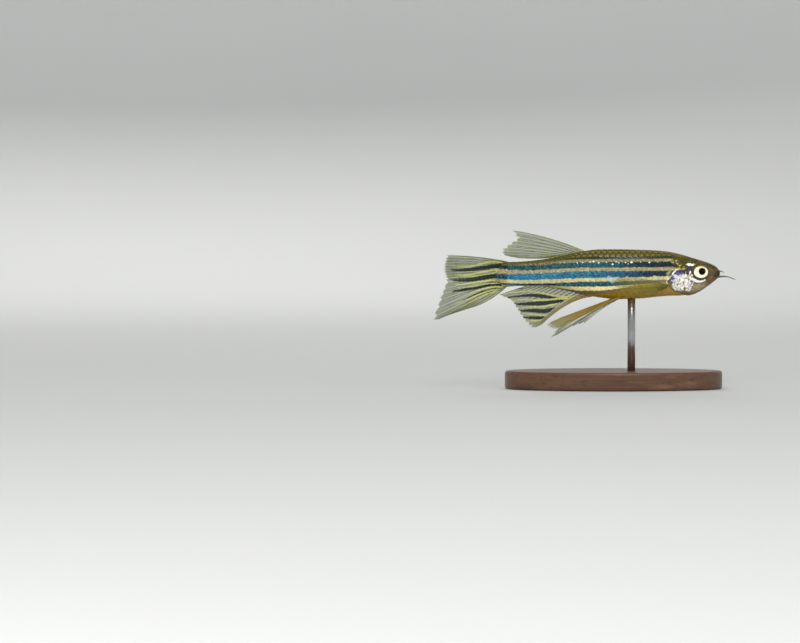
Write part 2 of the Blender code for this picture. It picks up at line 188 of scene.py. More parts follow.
# ---- where the stripes run --------------------------------------------------
# heights above the axis of the edges between colour bands, at ten places back
# from the snout: back/speckled line, line/pale band, pale/stripe 1, stripe 1/gold,
# gold/stripe 2, stripe 2/gold, gold/stripe 3, stripe 3/silver, silver/grey, grey/belly
BAND_S = np.array([8.3, 10.8, 13.3, 16.6, 19.9, 23.2, 26.5, 29.8, 33.1, 36.6])
BANDS = np.array([
    (3.02, 2.58, 2.15, 1.17, 0.55, -0.30, -0.95, -1.38, -1.70, -1.95),
    (2.93, 2.52, 2.13, 1.13, 0.55, -0.42, -0.98, -1.42, -1.72, -2.00),
    (2.92, 2.49, 2.10, 1.09, 0.56, -0.53, -1.06, -1.62, -1.88, -2.15),
    (2.93, 2.46, 2.07, 1.06, 0.55, -0.61, -1.20, -1.95, -2.36, -2.75),
    (2.88, 2.46, 2.04, 1.06, 0.54, -0.65, -1.21, -2.12, -2.78, -3.24),
    (2.76, 2.44, 1.97, 1.06, 0.50, -0.69, -1.23, -2.14, -2.80, -3.28),
    (2.55, 2.36, 1.78, 0.86, 0.32, -0.82, -1.45, -2.04, -2.44, -2.78),
    (2.18, 2.02, 1.50, 0.65, 0.13, -0.97, -1.60, -1.90, -2.14, -2.40),
    (1.75, 1.68, 1.50, 0.60, 0.02, -1.05, -1.63, -1.92, -2.10, -2.25),
    (1.68, 1.62, 1.48, 0.76, 0.06, -0.88, -1.50, -1.84, -2.10, -2.30),
])


def band_of(s, h):
    """The colour band of a point as a smooth number: 10 at the first edge, 1 at the last."""
    s, h = np.broadcast_arrays(np.asarray(s, float), np.asarray(h, float))
    edges = np.stack([np.interp(s, BAND_S, BANDS[:, k]) for k in range(10)], -1)
    out = np.where(h > edges[..., 0], 10 + (h - edges[..., 0]) / 0.9, 0.0)
    for k in range(9):
        top, bottom = edges[..., k], edges[..., k + 1]
        inside = (h <= top) & (h > bottom)
        out = np.where(inside, 10 - k - (top - h) / (top - bottom), out)
    low = edges[..., 9]
    return np.clip(np.where(h <= low, 1 - (low - h) / 0.9, out), 0.02, 13.98)


# ---- meshes -----------------------------------------------------------------
def grid_faces(rows, columns, closed=False):
    i, j = np.meshgrid(np.arange(rows - 1), np.arange(columns if closed else columns - 1),
                       indexing="ij")
    k = (j + 1) % columns
    faces = np.stack([i * columns + j, i * columns + k, (i + 1) * columns + k,
                      (i + 1) * columns + j], -1)
    return faces.reshape(-1, 4)


class Build:
    """Gathers parts of one mesh, with numbers at each vertex for the materials."""

    def __init__(self):
        self.points, self.faces, self.paints, self.uv, self.values = [], [], [], [], {}
        self.count = 0

    def add(self, points, faces, uv=None, paint=0, **values):
        points = np.asarray(points, float).reshape(-1, 3)
        n = len(points)
        self.points.append(points)
        for face in faces:
            self.faces.append(tuple(int(i) + self.count for i in face))
        self.paints += [paint] * len(faces)
        self.uv.append(np.zeros((n, 2)) if uv is None else np.asarray(uv, float).reshape(-1, 2))
        for name in set(values) | set(self.values):
            rows = self.values.setdefault(name, [np.zeros(self.count)])
            value = values.get(name, 0.0)
            rows.append(np.broadcast_to(np.asarray(value, float).ravel(), (n,)).copy()
                        if np.ndim(value) else np.full(n, float(value)))
        self.count += n

    def object(self, name, paints, wrap=False):
        """wrap closes the map of a loft: in a face that joins its last column to its
        first, the first column's corners are read one turn further on."""
        mesh = bpy.data.meshes.new(name)
        points = to_world(np.concatenate(self.points))
        mesh.from_pydata(points.tolist(), [], self.faces)
        mesh.update()
        made = bpy.data.objects.new(name, mesh)
        bpy.context.scene.collection.objects.link(made)
        for paint in paints:
            mesh.materials.append(paint)
        mesh.polygons.foreach_set("material_index", self.paints)
        mesh.polygons.foreach_set("use_smooth", [True] * len(mesh.polygons))
        for key, rows in self.values.items():
            layer = mesh.attributes.new(key, "FLOAT", "POINT")
            layer.data.foreach_set("value", np.concatenate(rows).astype(np.float32))
        uv = np.concatenate(self.uv)
        index = np.empty(len(mesh.loops), np.int32)
        mesh.loops.foreach_get("vertex_index", index)
        corner = uv[index]
        if wrap:
            starts = np.empty(len(mesh.polygons), np.int32)
            totals = np.empty(len(mesh.polygons), np.int32)
            mesh.polygons.foreach_get("loop_start", starts)
            mesh.polygons.foreach_get("loop_total", totals)
            for start, total in zip(starts, totals):
                part = corner[start:start + total, 1]
                if part.max() - part.min() > 0.5:
                    part[part < 0.5] += 1.0
            corner[:, 1] *= 0.999
        layer = mesh.uv_layers.new(name="OFBake")
        layer.data.foreach_set("uv", corner.astype(np.float32).ravel())
        return made


def unit(v):
    return v / np.maximum(np.linalg.norm(v, axis=-1, keepdims=True), 1e-9)


def rod_mesh(points, normals, radii, flat=1.0, sides=6):
    """A closed round or flattened rod along points: its vertices, faces, and (along, round)."""
    points = np.asarray(points, float)
    n = len(points)
    along_ = unit(np.gradient(points, axis=0))
    side = unit(np.cross(along_, np.broadcast_to(normals, points.shape)))
    out = np.cross(side, along_)
    a = np.arange(sides) / sides * 2 * math.pi
    ring = (np.cos(a)[None, :, None] * side[:, None] + flat * np.sin(a)[None, :, None] * out[:, None])
    where = points[:, None] + np.asarray(radii, float)[:, None, None] * ring
    vertices = where.reshape(-1, 3)
    faces = grid_faces(n, sides, closed=True).tolist()
    faces.append(list(range(sides))[::-1])
    faces.append([(n - 1) * sides + k for k in range(sides)])
    t = np.repeat(np.linspace(0, 1, n), sides)
    return vertices, [f[::-1] for f in faces], t


def dome(profile, segments, centre_low=None):
    """A surface of revolution from the middle out: profile is (radius, height) rows."""
    profile = np.asarray(profile, float)
    a = np.arange(segments) / segments * 2 * math.pi
    x = profile[:, 0][:, None] * np.cos(a)
    y = profile[:, 0][:, None] * np.sin(a)
    z = np.broadcast_to(profile[:, 1][:, None], x.shape)
    return np.stack([x, y, z], -1).reshape(-1, 3), grid_faces(len(profile), segments, closed=True)


# ---- material helpers -------------------------------------------------------
def srgb(r, g, b):
    """An 8-bit colour as linear light."""
    out = []
    for v in (r, g, b):
        v /= 255
        out.append(v / 12.92 if v <= 0.04045 else ((v + 0.055) / 1.055) ** 2.4)
    return (*out, 1.0)


class Paint:
    """A material and short ways to add nodes to it."""

    def __init__(self, name, **sockets):
        self.material = bpy.data.materials.new(name)
        self.material.use_nodes = True
        self.tree = self.material.node_tree
        self.shader = self.tree.nodes["Principled BSDF"]
        self.object_place = None
        self.set(**sockets)

    def feed(self, socket, value):
        if isinstance(value, bpy.types.NodeSocket):
            self.tree.links.new(value, socket)
        elif value is not None:
            socket.default_value = value

    def set(self, **sockets):
        for key, value in sockets.items():
            self.feed(self.shader.inputs[key.replace("_", " ")], value)

    def attribute(self, name):
        node = self.tree.nodes.new("ShaderNodeAttribute")
        node.attribute_name = name
        return node.outputs["Fac"]

    def place(self):
        if self.object_place is None:
            self.object_place = self.tree.nodes.new("ShaderNodeTexCoord").outputs["Object"]
        return self.object_place

    def math(self, operation, a, b=None, c=None, clamp=False):
        node = self.tree.nodes.new("ShaderNodeMath")
        node.operation = operation
        node.use_clamp = clamp
        for socket, value in zip(node.inputs, (a, b, c)):
            self.feed(socket, value)
        return node.outputs[0]

    def step(self, x, low, high, to_low=0.0, to_high=1.0):
        node = self.tree.nodes.new("ShaderNodeMapRange")
        node.interpolation_type = "SMOOTHSTEP"
        self.feed(node.inputs["Value"], x)
        node.inputs["From Min"].default_value = low
        node.inputs["From Max"].default_value = high
        node.inputs["To Min"].default_value = to_low
        node.inputs["To Max"].default_value = to_high
        return node.outputs[0]

    def ramp(self, x, stops):
        node = self.tree.nodes.new("ShaderNodeValToRGB")
        self.feed(node.inputs[0], x)
        elements = node.color_ramp.elements
        while len(elements) > 1:
            elements.remove(elements[-1])
        for i, (where, colour) in enumerate(stops):
            element = elements[0] if i == 0 else elements.new(where)
            element.position = where
            element.color = colour
        return node.outputs[0]

    def mix(self, factor, a, b, blend="MIX"):
        node = self.tree.nodes.new("ShaderNodeMix")
        node.data_type = "RGBA"
        node.blend_type = blend
        self.feed(node.inputs[0], factor)
        self.feed(node.inputs[6], a)
        self.feed(node.inputs[7], b)
        return node.outputs[2]

    def noise(self, scale, detail=2.0, stretch=None):
        vector = self.place()
        if stretch:
            node = self.tree.nodes.new("ShaderNodeMapping")
            node.inputs["Scale"].default_value = stretch
            self.feed(node.inputs["Vector"], vector)
            vector = node.outputs[0]
        node = self.tree.nodes.new("ShaderNodeTexNoise")
        node.inputs["Scale"].default_value = scale
        node.inputs["Detail"].default_value = detail
        self.feed(node.inputs["Vector"], vector)
        return node.outputs["Fac"]

    def bent_place(self, bend, scale):
        """The place, pushed about by noise, for shapes whose borders wander."""
        noise = self.tree.nodes.new("ShaderNodeTexNoise")
        noise.inputs["Scale"].default_value = scale
        noise.inputs["Detail"].default_value = 2.0
        self.feed(noise.inputs["Vector"], self.place())
        push = self.tree.nodes.new("ShaderNodeVectorMath")
        push.operation = "MULTIPLY_ADD"
        self.feed(push.inputs[0], noise.outputs["Color"])
        push.inputs[1].default_value = (bend, bend, bend)
        self.feed(push.inputs[2], self.place())
        return push.outputs[0]

    def facets(self, scale, bend=0.0004):
        """Random cells: how near their border is (0 on it), and a number that differs from cell to cell."""
        place = self.bent_place(bend, scale * 0.8)
        border = self.tree.nodes.new("ShaderNodeTexVoronoi")
        border.feature = "DISTANCE_TO_EDGE"
        inner = self.tree.nodes.new("ShaderNodeTexVoronoi")
        for node in (border, inner):
            node.inputs["Scale"].default_value = scale
            self.feed(node.inputs["Vector"], place)
        part = self.tree.nodes.new("ShaderNodeSeparateColor")
        self.feed(part.inputs[0], inner.outputs["Color"])
        return border.outputs["Distance"], part.outputs[0]

    def near(self, spots, stretch):
        """Distance to the nearest of some (s, h, radius) spots of the side, in radii; they are drawn out lengthways."""
        found = None
        squeeze = np.array([1 / stretch, 0.0, 1.0])
        flat = self.tree.nodes.new("ShaderNodeVectorMath")
        flat.operation = "MULTIPLY"
        self.feed(flat.inputs[0], self.place())
        flat.inputs[1].default_value = squeeze.tolist()
        for s, h, radius in spots:
            gap = self.tree.nodes.new("ShaderNodeVectorMath")
            gap.operation = "DISTANCE"
            self.feed(gap.inputs[0], flat.outputs[0])
            gap.inputs[1].default_value = (to_world([[-s, 0, h]])[0] * squeeze).tolist()
            part = self.math("DIVIDE", gap.outputs["Value"], radius * MM)
            found = part if found is None else self.math("MINIMUM", found, part)
        return found

    def cells(self, scale):
        """Distance to the nearest of many random points."""
        node = self.tree.nodes.new("ShaderNodeTexVoronoi")
        node.inputs["Scale"].default_value = scale
        self.feed(node.inputs["Vector"], self.place())
        return node.outputs["Distance"]

    def bump(self, height, distance, strength=1.0):
        node = self.tree.nodes.new("ShaderNodeBump")
        node.inputs["Strength"].default_value = strength
        node.inputs["Distance"].default_value = distance
        self.feed(node.inputs["Height"], height)
        self.feed(self.shader.inputs["Normal"], node.outputs[0])


# colours, 8-bit
OLIVE, OLIVE_DARK, OLIVE_LIGHT = srgb(68, 65, 19), srgb(40, 39, 14), srgb(78, 75, 32)
SPECKLE = srgb(28, 42, 26)
PALE = srgb(122, 114, 82)
TEAL, TEAL_DEEP, TEAL_REAR = srgb(16, 60, 70), srgb(6, 27, 30), srgb(12, 46, 48)
FADED = srgb(116, 112, 90)
BLUE, BLUE_BRIGHT, NAVY = srgb(20, 78, 106), srgb(22, 100, 132), srgb(10, 28, 42)
GOLD, CREAM, PINKISH = srgb(147, 136, 101), srgb(206, 194, 142), srgb(142, 130, 98)
SILVER = srgb(252, 238, 162)
GREY = srgb(112, 100, 84)
BELLY, BELLY_ORANGE, BELLY_PALE = srgb(190, 158, 52), srgb(152, 122, 22), srgb(172, 142, 66)
TAIL_LOW = srgb(104, 92, 44)
TAIL_GOLD, NIGHT = srgb(152, 138, 66), srgb(12, 26, 36)


def bands(colours, soft=0.10):
    """Flat bands of colour with narrow edges, from the belly up, for a ramp over 0..1."""
    stops = []
    for k, colour in enumerate(colours):
        stops += [(max((k + soft) / 14, 0.0), colour), (min((k + 1 - soft) / 14, 1.0), colour)]
    return stops


def coat_colour(paint):
    """The scaled skin's colour from its band and its place along the body."""
    band, back = paint.attribute("band"), paint.attribute("back")
    ragged = paint.math("MULTIPLY_ADD", paint.math("SUBTRACT", paint.noise(3200, 2.0), 0.5), 0.62, band)
    ragged = paint.math("MULTIPLY_ADD", paint.math("SUBTRACT", paint.noise(1100, 1.0), 0.5), 0.28, ragged)
    q = paint.math("DIVIDE", ragged, 14.0)
    front = paint.ramp(q, bands((
        BELLY_PALE, BELLY, BELLY, FADED, CREAM, NAVY, GOLD, TEAL_DEEP, PALE,
        SPECKLE, OLIVE, OLIVE, OLIVE_DARK, OLIVE_DARK)))
    middle = paint.ramp(q, bands((
        BELLY_ORANGE, GREY, SILVER, TEAL, CREAM, BLUE, GOLD, TEAL, PALE,
        SPECKLE, OLIVE, OLIVE, OLIVE_DARK, OLIVE_DARK)))
    rear = paint.ramp(q, bands((
        TAIL_LOW, TAIL_LOW, PINKISH, NAVY, CREAM, BLUE_BRIGHT, PINKISH, TEAL_REAR,
        OLIVE_LIGHT, OLIVE_LIGHT, OLIVE, OLIVE, OLIVE_DARK, OLIVE_DARK)))
    root = paint.ramp(q, bands((
        TAIL_LOW, TAIL_LOW, TAIL_GOLD, NIGHT, TAIL_GOLD, NIGHT, TAIL_GOLD, NIGHT,
        OLIVE, OLIVE, OLIVE, OLIVE, OLIVE_DARK, OLIVE_DARK)))
    colour = paint.mix(paint.step(back, 12.0, 18.5), front, middle)
    colour = paint.mix(paint.step(back, 22.0, 30.0), colour, rear)
    wander = paint.math("MULTIPLY_ADD", paint.math("SUBTRACT", paint.noise(1700, 2.0), 0.5), 1.6, back)
    colour = paint.mix(paint.step(wander, 33.9, 36.2), colour, root)
    # over the nape the stripes sink into the head's dark olive
    nape = paint.math("MULTIPLY_ADD", paint.math("SUBTRACT", paint.noise(2300, 2.0), 0.5), 0.9, paint.attribute("nape"))
    olive = paint.mix(paint.step(paint.noise(3000, 2.0), 0.38, 0.62), srgb(80, 76, 32), srgb(44, 42, 20))
    return paint.mix(paint.math("MULTIPLY", paint.step(nape, 0.30, 0.80), 0.92), colour, olive), ragged


def in_band(paint, ragged, low, high, soft=0.12):
    """1 between two band numbers, 0 outside."""
    up = paint.step(ragged, low - soft, low + soft)
    down = paint.step(ragged, high - soft, high + soft, 1.0, 0.0)
    return paint.math("MULTIPLY", up, down)


# ---- the skin ---------------------------------------------------------------
def angle_of(s, h):
    """Angle of the outline point at height h on the fish's left side."""
    level = along(s, LEVEL)
    power = np.where(h > level, along(s, POWER_UP), along(s, POWER_DOWN))
    height = np.where(h > level, along(s, TOP) - level, level - along(s, UNDER))
    part = np.clip(np.abs(h - level) / height, 0, 1)
    return np.sign(h - level) * np.arcsin(part ** (power / 2))


def curve_through(xs, ys, x):
    """A smooth curve through a table, without overshoot."""
    xs, ys = np.asarray(xs, float), np.asarray(ys, float)
    m = slopes(xs, ys)
    x = np.clip(x, xs[0], xs[-1])
    i = np.clip(np.searchsorted(xs, x) - 1, 0, len(xs) - 2)
    w = xs[i + 1] - xs[i]
    t = (x - xs[i]) / w
    return ((1 + 2 * t) * ys[i] + t * m[i] * w) * (1 - t) ** 2 + (
        (3 - 2 * t) * ys[i + 1] + (t - 1) * m[i + 1] * w) * t ** 2


GILL_H = np.array([1.02, 0.45, -0.55, -1.15, -1.85, -2.6, -3.15])
GILL_FRONT = np.array([5.75, 5.0, 4.85, 4.8, 4.65, 4.95, 5.7])
GILL_REAR = np.array([7.2, 7.9, 8.5, 9.15, 8.75, 7.95, 6.6])
EDGE_ANGLES = np.concatenate([
    np.radians([-90, -76]), angle_of(GILL_REAR, GILL_H)[::-1], np.radians([35, 60, 90])])
EDGE_S = np.concatenate([[4.8, 5.6], GILL_REAR[::-1], [7.35, 7.5, 7.6]])


def gill_edge(fold):
    """How far back the free edge of the gill cover is, at an angle from -90 to 90."""
    return curve_through(EDGE_ANGLES, EDGE_S, fold)


def folded(angle):
    """The same height's angle on the left side."""
    a = np.mod(np.asarray(angle, float) + math.pi / 2, 2 * math.pi) - math.pi / 2
    return np.where(a > math.pi / 2, math.pi - a, a)


def line_distance(s, h, line):
    """Distance to a chain of (s, h) points, and how far along it (0..1) that is."""
    line = np.asarray(line, float)
    lengths = np.concatenate([[0], np.cumsum(np.hypot(*np.diff(line, axis=0).T))])
    best, where = np.full(np.shape(s), 1e9), np.zeros(np.shape(s))
    for k in range(len(line) - 1):
        (a, b), (c, d) = line[k], line[k + 1]
        t = np.clip(((s - a) * (c - a) + (h - b) * (d - b)) / ((c - a) ** 2 + (d - b) ** 2), 0, 1)
        gap = np.hypot(s - a - t * (c - a), h - b - t * (d - b))
        nearer = gap < best
        best = np.where(nearer, gap, best)
        where = np.where(nearer, (lengths[k] + t * (lengths[k + 1] - lengths[k])) / lengths[-1], where)
    return best, where


def smooth_chain(points, parts=8):
    points = np.asarray(points, float)
    u = np.linspace(0, 1, (len(points) - 1) * parts + 1)
    return np.stack([spread(points[:, 0], u), spread(points[:, 1], u)], -1)


MOUTH = smooth_chain([(-0.03, 0.12), (0.16, 0.03), (0.45, -0.14), (0.85, -0.40), (1.22, -0.68),
                      (1.50, -1.02)])
JAW_REAR = smooth_chain([(1.62, -1.12), (2.2, -1.60), (3.05, -2.05), (3.45, -2.75)])
UPPER_LIP = smooth_chain([(0.30, 0.62), (0.55, 0.20), (0.95, -0.18), (1.40, -0.55), (1.66, -0.98)])
PREOPERCLE = smooth_chain([(4.75, 0.95), (5.30, 0.30), (5.52, -0.50), (5.45, -1.25), (5.05, -1.95),
                           (4.45, -2.45), (3.70, -2.72)])
PREOPERCLE_INNER = smooth_chain([(4.62, 0.30), (4.95, -0.25), (5.02, -0.90), (4.75, -1.55),
                                 (4.20, -2.05), (3.60, -2.30)])
SUBOPERCLE = smooth_chain([(5.75, -1.35), (6.6, -1.62), (7.6, -1.80), (8.45, -1.85)])
INTEROPERCLE = smooth_chain([(4.2, -2.78), (5.2, -2.62), (6.2, -2.70), (7.0, -2.95)])
NAPE = smooth_chain([(5.2, 2.30), (6.0, 1.95), (6.9, 1.75), (7.6, 1.95)])


def eye_axes(side):
    """Rows are the eye's own forward, up and outward directions."""
    yaw, pitch = -side * EYE_YAW, side * EYE_PITCH
    turn_z = np.array([[math.cos(yaw), -math.sin(yaw), 0], [math.sin(yaw), math.cos(yaw), 0], [0, 0, 1]])
    turn_x = np.array([[1, 0, 0], [0, math.cos(pitch), -math.sin(pitch)], [0, math.sin(pitch), math.cos(pitch)]])
    turn = turn_z @ turn_x
    return np.stack([turn @ [1, 0, 0], turn @ [0, 0, 1], turn @ [0, side, 0]])


def eye_centre(side):
    return np.array([-EYE_S, side * EYE_OUT, EYE_H])


SOCKET = 1.27
# how far the iris stands out from the pupil's edge (0) to the rim (1)
IRIS_WHERE = [-0.10, -0.03, 0.0, 0.05, 0.16, 0.38, 0.62, 0.80, 0.90, 0.96, 1.0, 1.02]
IRIS_HEIGHT = [0.22, 0.33, 0.405, 0.450, 0.482, 0.506, 0.500, 0.470, 0.440, 0.410, 0.360, -0.28]


def skin_relief(s, h, fold):
    """How far the head's surface stands out (+) or in (-), in mm, apart from the coat's depth."""
    edge = gill_edge(fold)
    deg = np.degrees(fold)
    # the gill cover: a plate that thickens backwards to a free edge over a slit
    hold = smooth(-89, -79, deg) * (1 - smooth(12, 24, deg))
    past = s - edge
    plate = 0.015 + 0.085 * smooth(edge - 3.0, edge - 0.25, s)
    slit = -0.12 * (1 - smooth(0.05, 0.80, past))
    out = hold * np.where(past <= 0, plate, slit * smooth(0, 0.03, past) + plate * (1 - smooth(0, 0.03, past)))
    out = np.where(past < -3.2, 0.015 * hold * smooth(-3.8, -3.2, past), out)
    side = smooth(-86, -74, deg) * (1 - smooth(70, 80, deg))

    def cut(line, depth, width, ridge=0.0, taper=(0.0, 1.0)):
        gap, t = line_distance(s, h, line)
        ends = smooth(-0.001, taper[0] + 0.001, t) * (1 - smooth(taper[1] - 0.001, 1.001, t))
        shape = -depth * (1 - smooth(0, width, gap))
        if ridge:
            shape = shape + ridge * bump(gap, width * 1.7, width * 1.3)
        return shape * ends

    out = out + side * cut(PREOPERCLE, 0.050, 0.10, 0.020, (0.08, 0.90))
    out = out + side * cut(PREOPERCLE_INNER, 0.022, 0.10, 0.0, (0.15, 0.80))
    out = out + side * cut(SUBOPERCLE, 0.026, 0.07, 0.0, (0.10, 0.95))
    out = out + side * cut(INTEROPERCLE, 0.030, 0.08, 0.012, (0.15, 0.85))
    out = out + side * cut(NAPE, 0.030, 0.16, 0.0, (0.25, 0.80))
    # rays of the gill membrane under the cover
    for k in range(3):
        line = [(4.6 + 0.25 * k, -3.02 - 0.13 * k), (5.6 + 0.2 * k, -3.05 - 0.10 * k), (6.5, -3.12 - 0.05 * k)]
        out = out + cut(smooth_chain(line), 0.020, 0.05, 0.0, (0.2, 0.9)) * side
    # the mouth: a deep cut between two lips, which fades at its corner
    gap, t = line_distance(s, h, MOUTH)
    hold = 1 - smooth(0.86, 1.0, t)
    out = out - 0.20 * (1 - smooth(0.0, 0.075, gap)) * hold
    out = out + 0.050 * bump(gap, 0.17, 0.15) * hold
    out = out + cut(UPPER_LIP, 0.035, 0.09, 0.0, (0.10, 0.85))
    out = out + side * cut(JAW_REAR, 0.035, 0.12, 0.012, (0.10, 0.80))
    # the bony ring below and behind the eye
    a, b = s - EYE_S, h - EYE_H
    r = np.hypot(a, b)
    below = smooth(0.15, -0.35, b) * side
    out = out + 0.030 * bump(r, 1.38, 0.14) * side
    out = out - 0.028 * bump(r, 1.98, 0.10) * below
    out = out + 0.018 * bump(r, 1.70, 0.22) * below
    for turn in (-2.55, -1.95, -1.35, -0.80):  # seams across that ring
        a1, b1 = math.cos(turn) * -1, math.sin(turn)
        gap, t = line_distance(s, h, [(EYE_S + 1.45 * a1, EYE_H + 1.45 * b1), (EYE_S + 1.95 * a1, EYE_H + 1.95 * b1)])
        out = out - 0.020 * (1 - smooth(0, 0.06, gap)) * below
    # nostrils: two pits with a low rim, and the flap between them
    for place_s, place_h, radius, depth in ((1.42, 1.10, 0.105, 0.13), (1.76, 1.20, 0.135, 0.15)):
        r = np.hypot((s - place_s) / 1.0, (h - place_h) / 0.85)
        out = out - depth * (1 - smooth(radius * 0.35, radius * 1.1, r))
        out = out + 0.035 * bump(r, radius * 1.35, radius * 0.7)
    gap, t = line_distance(s, h, [(1.57, 1.02), (1.60, 1.30)])
    out = out + 0.05 * (1 - smooth(0.0, 0.07, gap))
    return out


def blob(s, h, at_s, at_h, half_s, half_h, lean=0.0, soft=0.45):
    """1 in the middle of a soft oval, 0 outside it."""
    c, d = math.cos(lean), math.sin(lean)
    a = ((s - at_s) * c + (h - at_h) * d) / half_s
    b = (-(s - at_s) * d + (h - at_h) * c) / half_h
    return 1 - smooth(1 - soft, 1 + soft, np.hypot(a, b))


def wandered(s, h, by=0.062):
    """The place that a marking is read at, pushed about a little so that its edges wander."""
    a = np.sin(7.1 * s + 4.3 * h + 0.7) + 0.8 * np.sin(11.7 * h - 6.3 * s + 2.1) + 0.7 * np.sin(16.9 * s + 13.1 * h)
    b = np.sin(6.3 * h - 8.7 * s + 1.9) + 0.8 * np.sin(12.9 * s + 5.1 * h + 0.4) + 0.7 * np.sin(18.3 * h - 14.7 * s + 3)
    return s + by * a, h + by * b


def nape_of(s, h):
    """1 on the nape, where the coat has the head's colour, falling to 0 behind it."""
    return smooth(8.9, 7.0, s) * smooth(-0.1, 0.7, h)


